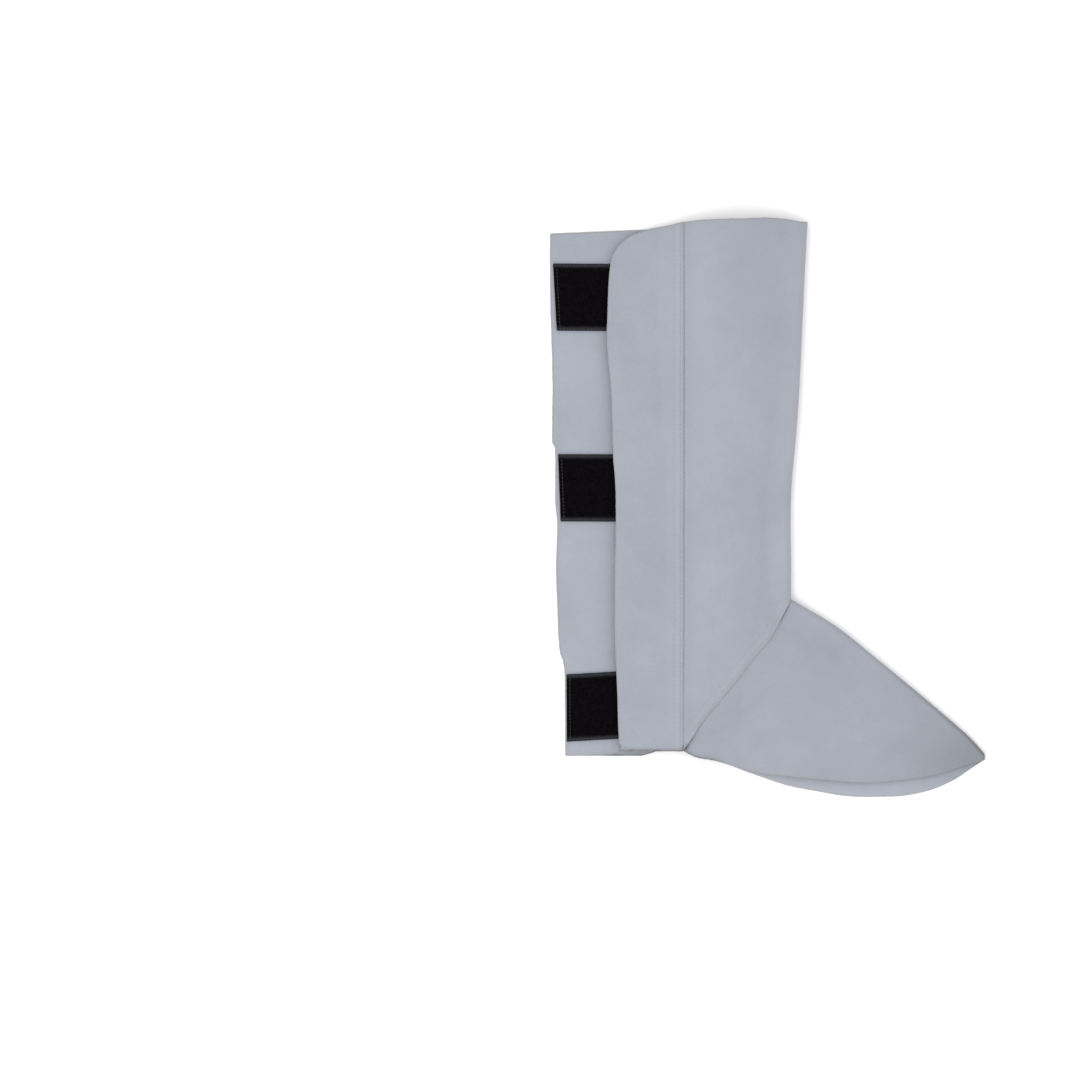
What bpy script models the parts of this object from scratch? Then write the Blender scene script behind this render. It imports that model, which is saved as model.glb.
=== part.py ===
"""Leather safety leg guard, closed on its tapes and lying on its inner side.

X runs to the toe, Y to the knee and Z up. The plan is drawn from the lapped seam (x = 0) and the
hem of the shaft (y = 0), and the whole guard is then set down with its origin under its middle.
All sizes are in metres."""

import math

import bmesh
import bpy
import numpy as np

# Leather and seams
LEATHER = 0.0018
GAP = 0.0004
BACK_LAP = 0.012
BACK_LAP_PLAY = 0.0003
SPAT_LAP = 0.009
SPAT_LAP_PLAY = 0.0002
SEAM_HOLLOW_HEIGHT = 0.0016
SEAM_HOLLOW_WIDTH = 0.002

# Plan of the shaft
SHAFT_HEIGHT = 0.396
FRONT_WIDTH = 0.0925
FLAP_WIDTH = 0.0563
INNER_WIDTH = 0.0992
ANKLE_HEIGHT = 0.113
KNEE_CORNER_DROP = 0.0465
INNER_KNEE_DROP = 0.0105
INNER_HEM_DROP = 0.0038
INNER_HEM_STEP = 0.030
INNER_HEM_RISE = 0.0114

# Plan of the spat
SPAT_REACH = 0.1444
SPAT_DROP = 0.1175
OUTER_SOLE_DEPTH = 0.0206
INNER_SOLE_DEPTH = 0.0323
TOE_BLUNT = 0.005

# Height of the upper layer
CROWN = 0.018
CROWN_POWER = 1.4
VALLEY_DEPTH = 0.0024
VALLEY_INSET = 0.017
VALLEY_WIDTH = 0.0065
SOLE_DROOP = 0.6
SOLE_DROOP_REACH = 0.035
SOLE_DROOP_FULL_AT = 0.25
HOLLOW_DEPTH = 0.004
HOLLOW_PLACE = 0.62
HOLLOW_INSET = 0.014
HOLLOW_LENGTH = 0.026
HOLLOW_WIDTH = 0.011
RIDGE_HEIGHT = 0.0012
RIDGE_INSET = 0.0045
RIDGE_WIDTH = 0.003
LAP_TAPER = 0.012
LAP_START = 0.016
LAP_SETTLE = 0.018

# Hook and loop tapes
TAPE_WIDTH = 0.050
LOOP_LENGTH = 0.073
LOOP_THICK = 0.002
HOOK_END_GAP = 0.0005
HOOK_WIDTH = 0.048
HOOK_THICK = 0.0015
HOOK_INSET = 0.002
TAPE_EDGE_INSET = 0.0026

# Meshes
ROWS = 40
SPAT_ROWS = 24
FLAP_COLUMNS = 9
FRONT_COLUMNS = 14
INNER_COLUMNS = 16
SPAT_COLUMNS = 13
TURN_STEPS = 4
CURVE_STEPS = 12
NEAREST_STEPS = 420
LAP_STEPS = 60
LAP_FIRST_RUN = 4
ANKLE_RUN_SHARE = 0.08
SLOPE_STEP = 0.001
SHARP_ANGLE = 40.0

# Shin edge: height as a share of SHAFT_HEIGHT, width from the lapped seam as a share of FRONT_WIDTH.
# Its foot is the ankle, at ANKLE_HEIGHT.
ANKLE_WIDTH_SHARE = 0.866
SHIN = [
    dict(height=0.358, width=0.867),
    dict(height=0.425, width=0.863),
    dict(height=0.470, width=0.866),
    dict(height=0.515, width=0.876),
    dict(height=0.610, width=0.914),
    dict(height=0.723, width=0.943),
    dict(height=0.883, width=0.974),
    dict(height=0.994, width=1.000),
]

# Back edge of the flap: width as a share of FLAP_WIDTH.
FLAP_BACK = [
    dict(height=0.000, width=0.849),
    dict(height=0.110, width=0.873),
    dict(height=0.200, width=0.900),
    dict(height=0.300, width=0.907),
    dict(height=0.470, width=0.893),
    dict(height=0.560, width=0.928),
    dict(height=0.680, width=0.958),
    dict(height=0.740, width=0.998),
    dict(height=0.790, width=1.010),
]

# Knee corner of the flap: width as a share of FLAP_WIDTH, drop as a share of KNEE_CORNER_DROP.
FLAP_TOP = [
    dict(width=0.000, drop=0.06),
    dict(width=0.213, drop=0.11),
    dict(width=0.440, drop=0.16),
    dict(width=0.613, drop=0.23),
    dict(width=0.747, drop=0.31),
    dict(width=0.867, drop=0.44),
]
FLAP_CORNER = [
    dict(width=0.933, drop=0.58),
    dict(width=0.965, drop=0.75),
    dict(width=0.987, drop=1.00),
]

# Back edge of the inner panel: width as a share of INNER_WIDTH.
INNER_BACK = [
    dict(height=0.000, width=0.885),
    dict(height=0.150, width=0.892),
    dict(height=0.190, width=0.928),
    dict(height=0.277, width=0.946),
    dict(height=0.340, width=0.954),
    dict(height=0.425, width=0.946),
    dict(height=0.470, width=0.960),
    dict(height=0.567, width=0.961),
    dict(height=0.585, width=0.983),
    dict(height=0.690, width=0.981),
    dict(height=0.794, width=0.991),
    dict(height=0.850, width=0.998),
    dict(height=0.920, width=1.000),
]

# Knee edge of the front panel: width as a share of FRONT_WIDTH, drop as a share of KNEE_CORNER_DROP.
FRONT_TOP = [
    dict(width=0.130, drop=0.040),
    dict(width=0.500, drop=0.030),
    dict(width=0.660, drop=0.005),
    dict(width=0.840, drop=0.015),
]

# Slanted seam between shaft and spat, from the ankle to the foot of the lapped seam.
SEAM = [
    dict(across=0.000, down=0.000),
    dict(across=0.100, down=0.128),
    dict(across=0.200, down=0.256),
    dict(across=0.345, down=0.370),
    dict(across=0.530, down=0.545),
    dict(across=0.685, down=0.680),
    dict(across=0.810, down=0.790),
    dict(across=0.905, down=0.895),
    dict(across=1.000, down=1.000),
]

# Instep edge of the spat, from the ankle to the toe, as shares of SPAT_REACH and SPAT_DROP.
INSTEP = [
    dict(reach=0.000, drop=0.000),
    dict(reach=0.234, drop=0.172),
    dict(reach=0.431, drop=0.365),
    dict(reach=0.606, drop=0.541),
    dict(reach=0.779, drop=0.720),
    dict(reach=0.918, drop=0.870),
]

# Lower edges of the spat: place between the lapped seam and the toe, depth as a share of
# OUTER_SOLE_DEPTH and INNER_SOLE_DEPTH.
SOLE = [
    dict(place=0.04, outer=0.21, inner=0.13),
    dict(place=0.11, outer=0.33, inner=0.21),
    dict(place=0.22, outer=0.67, inner=0.48),
    dict(place=0.34, outer=0.82, inner=0.74),
    dict(place=0.44, outer=0.90, inner=0.87),
    dict(place=0.54, outer=0.99, inner=0.97),
    dict(place=0.63, outer=1.00, inner=0.98),
    dict(place=0.73, outer=0.88, inner=0.94),
    dict(place=0.82, outer=0.72, inner=0.80),
    dict(place=0.90, outer=0.46, inner=0.55),
    dict(place=0.95, outer=0.26, inner=0.31),
]

# Form along the front: station 0 is the knee, 1 the ankle and 2 the toe. Crown is a share of CROWN,
# layers is how much of the spat's lap the front seam still holds, hollow is a share of the seam's
# hollow and valley a share of VALLEY_DEPTH.
FORM = [
    dict(station=0.00, crown=0.84, layers=1.0, hollow=1.0, valley=0.5),
    dict(station=0.35, crown=1.00, layers=1.0, hollow=1.0, valley=0.5),
    dict(station=0.72, crown=0.94, layers=1.0, hollow=1.0, valley=1.0),
    dict(station=1.00, crown=0.85, layers=1.0, hollow=1.0, valley=0.4),
    dict(station=1.40, crown=0.72, layers=0.6, hollow=0.9, valley=0.0),
    dict(station=1.75, crown=0.42, layers=0.2, hollow=0.7, valley=0.0),
    dict(station=2.00, crown=0.05, layers=0.0, hollow=0.5, valley=0.0),
]

# Tapes: height of the middle as a share of SHAFT_HEIGHT, inset of the loop tape from the back edge as
# a share of TAPE_EDGE_INSET, tilt of its long edges and lean of its ends in degrees.
TAPES = [
    dict(name="knee", height=0.854, inset=1.0, tilt=-0.3, lean=3.2),
    dict(name="calf", height=0.495, inset=0.6, tilt=-0.3, lean=2.2),
    dict(name="ankle", height=0.080, inset=0.35, tilt=3.2, lean=0.3),
]

LEATHER_COLOR = (0.40, 0.43, 0.48)
LEATHER_ROUGHNESS = 0.9
TAPE_COLOR = (0.006, 0.006, 0.008)
TAPE_ROUGHNESS = 0.95

LAYER = LEATHER + GAP
HOOK_LENGTH = FLAP_WIDTH * FLAP_BACK[0]["width"] - HOOK_INSET - BACK_LAP - HOOK_END_GAP
ANKLE = np.array([FRONT_WIDTH * ANKLE_WIDTH_SHARE, ANKLE_HEIGHT])
TOE = ANKLE + np.array([SPAT_REACH, -SPAT_DROP])
LAP_FOOT = np.zeros(2)
SHAFT_TURN = LEATHER + LAYER + SEAM_HOLLOW_WIDTH
SPAT_TURN = LEATHER + SEAM_HOLLOW_WIDTH
FLAP_BOTTOM = LEATHER + GAP + LOOP_THICK + GAP + HOOK_THICK + GAP
CLOSED_LEVEL = FLAP_BOTTOM + LEATHER - LAYER
CLOSED_WIDTH = HOOK_INSET + HOOK_LENGTH + HOOK_INSET


def column(rows, name):
    return np.array([row[name] for row in rows], float)


def ease(x):
    x = np.clip(x, 0.0, 1.0)
    return x * x * (3.0 - 2.0 * x)


def unit(vectors):
    return vectors / np.linalg.norm(vectors, axis=-1, keepdims=True)


def smooth_line(points):
    """A smooth line through the points, by Catmull-Rom, as many short steps."""
    points = np.array(points, float)
    ends = [2 * points[0] - points[1], *points, 2 * points[-1] - points[-2]]
    steps = np.linspace(0.0, 1.0, CURVE_STEPS, endpoint=False)[:, None]
    line = []
    for before, start, end, after in zip(ends, ends[1:], ends[2:], ends[3:]):
        line.append(
            0.5
            * (
                2 * start
                + (end - before) * steps
                + (2 * before - 5 * start + 4 * end - after) * steps**2
                + (3 * start - before - 3 * end + after) * steps**3
            )
        )
    return np.vstack([*line, points[-1:]])


def at(line, shares):
    """Points of the line at shares of its length."""
    lengths = np.concatenate([[0.0], np.cumsum(np.linalg.norm(np.diff(line, axis=0), axis=1))])
    where = np.asarray(shares) * lengths[-1]
    return np.stack([np.interp(where, lengths, line[:, k]) for k in (0, 1)], axis=-1)


def nearest(x, y, line):
    """Distance from each point to the line, and the share of the line's length there."""
    shares = np.linspace(0.0, 1.0, NEAREST_STEPS)
    points = at(line, shares)
    far = np.hypot(x[..., None] - points[:, 0], y[..., None] - points[:, 1])
    return far.min(axis=-1), shares[far.argmin(axis=-1)]


def shin_line():
    rows = [ANKLE]
    for row in SHIN:
        rows.append((FRONT_WIDTH * row["width"], SHAFT_HEIGHT * row["height"]))
    return smooth_line(rows)


def instep_line():
    rows = [ANKLE + (SPAT_REACH * row["reach"], -SPAT_DROP * row["drop"]) for row in INSTEP]
    return smooth_line([*rows, TOE + (0.0, TOE_BLUNT / 2)])


def seam_line():
    reach = LAP_FOOT - ANKLE
    return smooth_line([ANKLE + reach * (row["across"], row["down"]) for row in SEAM])


def sole_line(side, depth, start):
    """Lower edge of one half of the spat, from its lap to the toe."""
    rows = [start]
    for row in SOLE:
        along = LAP_FOOT + (TOE - LAP_FOOT) * row["place"]
        rows.append(along + (0.0, -depth * row[side]))
    return smooth_line([*rows, TOE - (0.0, TOE_BLUNT / 2)])


def back_line(rows, width, top):
    """A back edge of the shaft from the hem up to the height given."""
    points = []
    for row in rows:
        points.append((-width * row["width"], SHAFT_HEIGHT * row["height"]))
    return smooth_line([*points, *top])


SHIN_LINE = shin_line()
INSTEP_LINE = instep_line()
SEAM_LINE = seam_line()


def flap_back_x(y):
    heights = SHAFT_HEIGHT * column(FLAP_BACK, "height")
    return np.interp(y, heights, -FLAP_WIDTH * column(FLAP_BACK, "width"))


def form(station, name):
    return np.interp(station, column(FORM, "station"), column(FORM, name))


def stations(x, y):
    """Distance to the front edge, and the station there."""
    to_shin, up = nearest(x, y, SHIN_LINE)
    to_instep, down = nearest(x, y, INSTEP_LINE)
    return np.minimum(to_shin, to_instep), np.where(to_shin < to_instep, 1.0 - up, 1.0 + down)


def seam_level(station):
    """Height of the plane in which the two sides meet at the front seam."""
    hollow = SEAM_HOLLOW_HEIGHT * form(station, "hollow")
    return LEATHER + form(station, "layers") * LAYER + hollow


def welt_level(station):
    """Top of the upper shaft layer where it turns down into the front seam."""
    hollow = SEAM_HOLLOW_HEIGHT * form(station, "hollow")
    return seam_level(station) + GAP / 2 + hollow + LEATHER + LAYER


def seam_taper(share):
    """0 at both ends of the slanted seam, where the pieces butt, and 1 where they lap."""
    length = np.linalg.norm(LAP_FOOT - ANKLE)
    from_ankle = (share * length - LAP_START) / LAP_TAPER
    return ease(from_ankle) * ease((1.0 - share) * length / LAP_TAPER - 1.0)


def foot_rise(share):
    """0 at the foot of the slanted seam and 1 before the pieces begin to lap."""
    length = np.linalg.norm(LAP_FOOT - ANKLE)
    return ease((1.0 - share) * length / LAP_TAPER)


def upper_level(x, y):
    """Outer height of the upper shaft layer, also where the spat carries it on."""
    to_front, station = stations(x, y)
    to_back = x - flap_back_x(y)
    open_width = np.maximum(to_back - CLOSED_WIDTH, 0.0) + np.maximum(to_front - SHAFT_TURN, 0.0)
    across = np.clip((to_back - CLOSED_WIDTH) / np.maximum(open_width, GAP), 0.0, 1.0)
    base = CLOSED_LEVEL + (welt_level(station) - CLOSED_LEVEL) * ease(across)
    dome = CROWN * form(station, "crown") * np.sin(math.pi * across) ** CROWN_POWER
    to_sole, place = nearest(x, y, sole_line("outer", OUTER_SOLE_DEPTH, LAP_FOOT))
    droop = SOLE_DROOP * ease(place / SOLE_DROOP_FULL_AT) * np.exp(-((to_sole / SOLE_DROOP_REACH) ** 2))
    valley = VALLEY_DEPTH * form(station, "valley")
    valley *= np.exp(-(((to_front - VALLEY_INSET) / VALLEY_WIDTH) ** 2))
    run = unit(LAP_FOOT - ANKLE)
    middle = at(SEAM_LINE, HOLLOW_PLACE) + HOLLOW_INSET * np.array([-run[1], run[0]])
    along = ((x - middle[0]) * run[0] + (y - middle[1]) * run[1]) / HOLLOW_LENGTH
    beside = ((y - middle[1]) * run[0] - (x - middle[0]) * run[1]) / HOLLOW_WIDTH
    hollow = HOLLOW_DEPTH * np.exp(-(along**2) - beside**2)
    return base + dome * (1.0 - droop) - valley - hollow


def slope_factor(x, y):
    """How much further apart two levels are, measured upright, than the layers are thick."""
    dx = (upper_level(x + SLOPE_STEP, y) - upper_level(x - SLOPE_STEP, y)) / (2 * SLOPE_STEP)
    dy = (upper_level(x, y + SLOPE_STEP) - upper_level(x, y - SLOPE_STEP)) / (2 * SLOPE_STEP)
    return np.sqrt(1.0 + dx**2 + dy**2)


def patch(left, right, bottom, top, columns, rows):
    """Plan of a four-sided sheet, as rows of points from left to right and from bottom to top."""
    a = np.linspace(0.0, 1.0, columns + 1)
    t = np.linspace(0.0, 1.0, rows + 1)
    left, right = at(left, t)[:, None], at(right, t)[:, None]
    bottom, top = at(bottom, a)[None], at(top, a)[None]
    a, t = a[None, :, None], t[:, None, None]
    corners = (1 - t) * ((1 - a) * bottom[:, :1] + a * bottom[:, -1:])
    corners = corners + t * ((1 - a) * top[:, :1] + a * top[:, -1:])
    return (1 - a) * left + a * right + (1 - t) * bottom + t * top - corners


def inner_edge(edge, run_start, run_end, turn):
    """The line where a sheet begins to turn towards its front edge, and the way in from the edge."""
    share = np.linspace(0.0, 1.0, len(edge))[:, None]
    way = unit(unit(run_start) * (1 - share) + unit(run_end) * share)
    along = unit(np.gradient(edge, axis=0))
    slant = np.abs(way[:, 0] * along[:, 1] - way[:, 1] * along[:, 0])
    return edge + way * (turn / slant)[:, None], way * (turn / slant)[:, None]


def add_material(name, color, roughness):
    material = bpy.data.materials.new(name)
    material.use_nodes = True
    shader = material.node_tree.nodes["Principled BSDF"]
    shader.inputs["Base Color"].default_value = (*color, 1.0)
    shader.inputs["Roughness"].default_value = roughness
    shader.inputs["Metallic"].default_value = 0.0
    return material


def add_sheet(name, outer, inner, color=LEATHER_COLOR, roughness=LEATHER_ROUGHNESS):
    """A closed wall between two sheets of points, as one object."""
    rows, columns = outer.shape[:2]
    mesh = bmesh.new()
    outside = [[mesh.verts.new(point) for point in row] for row in outer]
    inside = [[mesh.verts.new(point) for point in row] for row in inner]
    for sheet in (outside, inside):
        for r in range(rows - 1):
            for c in range(columns - 1):
                mesh.faces.new((sheet[r][c], sheet[r][c + 1], sheet[r + 1][c + 1], sheet[r + 1][c]))
    rim = [(0, c) for c in range(columns)]
    rim += [(r, columns - 1) for r in range(1, rows)]
    rim += [(rows - 1, c) for c in range(columns - 2, -1, -1)]
    rim += [(r, 0) for r in range(rows - 2, 0, -1)]
    for (r0, c0), (r1, c1) in zip(rim, rim[1:] + rim[:1]):
        mesh.faces.new((outside[r0][c0], outside[r1][c1], inside[r1][c1], inside[r0][c0]))
    bmesh.ops.recalc_face_normals(mesh, faces=mesh.faces)
    data = bpy.data.meshes.new(name)
    mesh.to_mesh(data)
    mesh.free()
    data.shade_smooth()
    data.set_sharp_from_angle(angle=math.radians(SHARP_ANGLE))
    obj = bpy.data.objects.new(name, data)
    bpy.context.collection.objects.link(obj)
    data.materials.append(add_material(name, color, roughness))
    return obj


def upper_sheet(plan, layers_up, extra=0.0):
    """Outer and inner points of a piece of the upper side, so many layers above the front panel."""
    x, y = plan[..., 0], plan[..., 1]
    factor = slope_factor(x, y)
    outer = upper_level(x, y) + layers_up * LAYER * factor + extra
    return np.dstack([x, y, outer]), np.dstack([x, y, outer - LEATHER * factor])


def lower_sheet(plan, lift=0.0):
    x, y = plan[..., 0], plan[..., 1]
    outer = np.zeros_like(x) + lift
    return np.dstack([x, y, outer]), np.dstack([x, y, outer + LEATHER])


def turn_edge(outer, inner, edge, way, station, side):
    """Adds the quarter turn from the last column of a sheet to the plane of the front seam."""
    level = (seam_level(station) + side * GAP / 2)[:, None]
    height = outer[:, -1:, 2] - level
    turn = np.linalg.norm(way, axis=-1)[:, None]
    angle = np.linspace(0.0, math.pi / 2, TURN_STEPS + 1)[None, 1:]
    turned = []
    for wall, sheet in ((0.0, outer), (LEATHER, inner)):
        share = 1.0 - (turn - wall) / turn * np.sin(angle)
        points = edge[:, None] + way[:, None] * share[..., None]
        rise = (height - side * wall) * np.cos(angle)
        turned.append(np.concatenate([sheet, np.dstack([points, level + rise])], axis=1))
    return turned


def shaft_edge(knee_run):
    shares = np.linspace(0.0, 1.0, ROWS + 1)
    edge = at(SHIN_LINE, shares)
    seam_run = at(SEAM_LINE, ANKLE_RUN_SHARE) - ANKLE
    start, way = inner_edge(edge, seam_run, knee_run, SHAFT_TURN)
    return edge, start, way, 1.0 - shares


def seam_upwards(end):
    """The slanted seam from its foot up to where the panel starts to turn."""
    line = SEAM_LINE[::-1]
    line = line[np.linalg.norm(line - ANKLE, axis=1) > np.linalg.norm(end - ANKLE) + GAP]
    return np.vstack([line, end])


def flap_top_points(rows):
    return [(-FLAP_WIDTH * row["width"], SHAFT_HEIGHT - KNEE_CORNER_DROP * row["drop"]) for row in rows]


def build_closure_flap():
    knee = flap_top_points(FLAP_TOP)
    corner = flap_top_points(FLAP_CORNER)
    left = back_line(FLAP_BACK, FLAP_WIDTH, [*corner[::-1], knee[-1]])
    right = np.array([LAP_FOOT, knee[0]])
    bottom = np.array([left[0], LAP_FOOT])
    plan = patch(left, right, bottom, smooth_line(knee[::-1]), FLAP_COLUMNS, ROWS)
    play = BACK_LAP_PLAY * ease((plan[..., 0] + 2 * BACK_LAP) / BACK_LAP)
    add_sheet("closure_flap", *upper_sheet(plan, 1, play))


def build_front_panel():
    edge, start, way, station = shaft_edge(np.array([-1.0, 0.0]))
    hidden_foot = LAP_FOOT - (BACK_LAP, 0.0)
    widths, drops = column(FLAP_TOP, "width"), column(FLAP_TOP, "drop")
    drops = np.interp((BACK_LAP / FLAP_WIDTH, 0.0), widths, drops)
    hidden_top, lap_top = SHAFT_HEIGHT - KNEE_CORNER_DROP * drops
    left = np.array([hidden_foot, (-BACK_LAP, hidden_top - GAP)])
    bottom = np.vstack([hidden_foot, seam_upwards(start[0])])
    top = [(FRONT_WIDTH * row["width"], SHAFT_HEIGHT - KNEE_CORNER_DROP * row["drop"]) for row in FRONT_TOP]
    top = np.array([left[-1], (0.0, lap_top), *top, start[-1]])
    plan = patch(left, start, bottom, top, FRONT_COLUMNS, ROWS)
    plan[:, -1] = start
    to_seam, share = nearest(plan[..., 0], plan[..., 1], SEAM_LINE)
    ridge = RIDGE_HEIGHT * seam_taper(share) * ease(plan[..., 0] / LAP_TAPER)
    ridge *= np.exp(-(((to_seam - RIDGE_INSET) / RIDGE_WIDTH) ** 2))
    outer, inner = upper_sheet(plan, 0, ridge)
    add_sheet("front_panel", *turn_edge(outer, inner, edge, way, station, 1))


def build_inner_panel():
    knee_back = (-INNER_WIDTH, SHAFT_HEIGHT - INNER_KNEE_DROP)
    edge, start, way, station = shaft_edge(np.array(knee_back) - SHIN_LINE[-1])
    left = back_line(INNER_BACK, INNER_WIDTH, [knee_back])
    left = np.vstack([(left[0][0], -INNER_HEM_DROP), left])
    step = [(-INNER_HEM_STEP, -INNER_HEM_DROP), (-INNER_HEM_STEP + INNER_HEM_RISE, 0.0)]
    bottom = np.vstack([left[0], step, seam_upwards(start[0])])
    top = np.array([knee_back, start[-1]])
    plan = patch(left, start, bottom, top, INNER_COLUMNS, ROWS)
    plan[:, -1] = start
    outer, inner = lower_sheet(plan)
    add_sheet("inner_panel", *turn_edge(outer, inner, edge, way, station, -1))


def spat_lap():
    """The spat's upper edge: it laps the shaft, but butts against it at both ends of the seam."""
    shares = np.linspace(0.0, 1.0, LAP_STEPS)
    line = at(SEAM_LINE, shares)
    run = unit(np.gradient(line, axis=0))
    towards_shaft = np.stack([run[:, 1], -run[:, 0]], axis=-1)
    lap = (SPAT_LAP + GAP) * seam_taper(shares) - GAP
    return line + towards_shaft * lap[:, None]


def spat_plan(side, depth):
    lap = spat_lap()
    sole = sole_line(side, depth, lap[-1])
    shares = np.linspace(0.0, 1.0, SPAT_ROWS + 1)
    instep = at(np.vstack([lap[0], INSTEP_LINE[2:]]), shares)
    toe_run = sole[-1] - instep[-1]
    length = np.linalg.norm(instep - at(sole, shares), axis=1)
    turn = np.minimum(SPAT_TURN, length / 2)
    start, way = inner_edge(instep, lap[LAP_FIRST_RUN] - lap[0], toe_run, turn)
    lap = lap[np.linalg.norm(lap - lap[0], axis=1) > np.linalg.norm(start[0] - lap[0]) + GAP]
    bottom = np.vstack([lap[::-1], start[0]])
    plan = patch(sole, start, bottom, np.array([sole[-1], start[-1]]), SPAT_COLUMNS, SPAT_ROWS)
    plan[:, -1] = start
    return plan, instep, way, 1.0 + shares


def build_spat_outer():
    plan, edge, way, station = spat_plan("outer", OUTER_SOLE_DEPTH)
    outer, inner = upper_sheet(plan, -1, -SPAT_LAP_PLAY)
    add_sheet("spat_outer", *turn_edge(outer, inner, edge, way, station, 1))


def build_spat_inner():
    plan, edge, way, station = spat_plan("inner", INNER_SOLE_DEPTH)
    to_seam, share = nearest(plan[..., 0], plan[..., 1], SEAM_LINE)
    run = unit(LAP_FOOT - ANKLE)
    past_seam = (plan[..., 0] - LAP_FOOT[0]) * -run[1] + (plan[..., 1] - LAP_FOOT[1]) * run[0]
    settle = np.where(past_seam > 0.0, ease((to_seam - SPAT_LAP) / LAP_SETTLE), 0.0)
    lift = LAYER * foot_rise(share) * (1.0 - settle)
    outer, inner = lower_sheet(plan, lift)
    add_sheet("spat_inner", *turn_edge(outer, inner, edge, way, station, -1))


def add_tape(name, start, tilt, lean, length, width, bottom, thick):
    """A flat tape whose back end is centred on start."""
    tilt, lean = math.radians(tilt), math.radians(lean)
    along = np.array([math.cos(tilt), math.sin(tilt)])
    aside = np.array([-math.sin(lean), math.cos(lean)])
    plan = np.array(
        [[start + along * a + aside * b for a in (0.0, length)] for b in (-width / 2, width / 2)]
    )
    level = np.full(plan.shape[:2], bottom)
    add_sheet(name, np.dstack([plan, level]), np.dstack([plan, level + thick]), TAPE_COLOR, TAPE_ROUGHNESS)


def build_tapes():
    back = back_line(INNER_BACK, INNER_WIDTH, [(-INNER_WIDTH, SHAFT_HEIGHT)])
    for tape in TAPES:
        middle = SHAFT_HEIGHT * tape["height"]
        near = np.abs(back[:, 1] - middle) < TAPE_WIDTH / 2
        loop_start = np.array([back[near, 0].max() + TAPE_EDGE_INSET * tape["inset"], middle])
        add_tape("loop_tape_" + tape["name"], loop_start, tape["tilt"], tape["lean"],
                 LOOP_LENGTH, TAPE_WIDTH, LEATHER + GAP, LOOP_THICK)
        hook_start = np.array([flap_back_x(middle) + HOOK_INSET, middle])
        add_tape("hook_tape_" + tape["name"], hook_start, 0.0, 0.0,
                 HOOK_LENGTH, HOOK_WIDTH, FLAP_BOTTOM - GAP - HOOK_THICK, HOOK_THICK)


def set_down():
    """Moves the guard so that its origin is under the middle of its box."""
    meshes = [obj.data for obj in bpy.context.scene.objects if obj.type == "MESH"]
    points = np.array([vertex.co for mesh in meshes for vertex in mesh.vertices])
    low, high = points.min(axis=0), points.max(axis=0)
    for mesh in meshes:
        for vertex in mesh.vertices:
            vertex.co.x -= (low[0] + high[0]) / 2
            vertex.co.y -= (low[1] + high[1]) / 2
            vertex.co.z -= low[2]


for old in list(bpy.data.objects):
    bpy.data.objects.remove(old)
build_closure_flap()
build_front_panel()
build_inner_panel()
build_spat_outer()
build_spat_inner()
build_tapes()
set_down()
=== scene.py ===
"""Looks of the leather safety leg guard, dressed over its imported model.

The plan is drawn as in the model, from the lapped seam (x = 0) and the hem of the shaft (y = 0),
and ORIGIN puts it where the model lies. All sizes are in metres."""

import math

import bpy
import numpy as np
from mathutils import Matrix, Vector


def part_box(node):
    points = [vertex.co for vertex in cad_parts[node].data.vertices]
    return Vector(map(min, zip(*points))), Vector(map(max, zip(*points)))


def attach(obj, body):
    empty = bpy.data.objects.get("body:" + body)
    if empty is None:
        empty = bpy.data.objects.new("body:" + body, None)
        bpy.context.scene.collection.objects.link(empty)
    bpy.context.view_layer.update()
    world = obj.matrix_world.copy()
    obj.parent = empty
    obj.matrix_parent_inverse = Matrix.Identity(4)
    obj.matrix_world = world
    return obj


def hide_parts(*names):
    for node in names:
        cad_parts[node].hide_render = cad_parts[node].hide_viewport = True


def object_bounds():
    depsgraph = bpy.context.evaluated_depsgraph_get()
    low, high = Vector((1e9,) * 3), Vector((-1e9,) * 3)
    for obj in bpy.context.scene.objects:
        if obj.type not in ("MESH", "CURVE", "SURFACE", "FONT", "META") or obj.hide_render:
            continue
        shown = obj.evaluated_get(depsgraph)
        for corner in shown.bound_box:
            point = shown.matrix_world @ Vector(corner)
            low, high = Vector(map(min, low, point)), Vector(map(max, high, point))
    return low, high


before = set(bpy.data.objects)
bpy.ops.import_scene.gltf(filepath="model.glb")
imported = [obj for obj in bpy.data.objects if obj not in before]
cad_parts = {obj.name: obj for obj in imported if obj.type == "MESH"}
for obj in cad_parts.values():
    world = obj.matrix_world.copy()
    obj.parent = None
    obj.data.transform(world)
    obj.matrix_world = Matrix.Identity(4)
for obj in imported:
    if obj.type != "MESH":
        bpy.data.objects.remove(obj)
MODEL_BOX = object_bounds()
ORIGIN = np.array([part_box("closure_flap")[1].x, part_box("closure_flap")[0].y, 0.0])

# Photograph: the middle of the guard's box in it, its scale, and the height that the scale holds for
PHOTO_SIZE = 1080
PHOTO_GUARD_MIDDLE = (767.7, 508.4)
PHOTO_SCALE = 0.00074456
PHOTO_SCALE_HEIGHT = 0.007
CAMERA_LENS = 100.0
CAMERA_SENSOR = 36.0
CAMERA_CLIP = 20.0

# Cut edges and their fibres
EDGE_BULGE = 0.00025
EDGE_RINGS = 4
EDGE_RAGGED = 0.00035
EDGE_RAGGED_RUN = 5
EDGE_RAGGED_SMOOTH = 0.6
SEAM_BULGE = 0.00005
FIBRE_SPACING = 0.00025
FIBRE_LENGTH = (0.0003, 0.0012)
FIBRE_LONG_POWER = 3
FIBRE_RADIUS = 0.00003
FIBRE_TAPER = 0.7
FIBRE_TURNS = (0.0, 2.1, 4.2)
FIBRE_SPREAD = 0.6
FIBRE_FLATTEN = (1.0, 1.0, 0.5)
NEVER_ZERO = 1e-9

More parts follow.
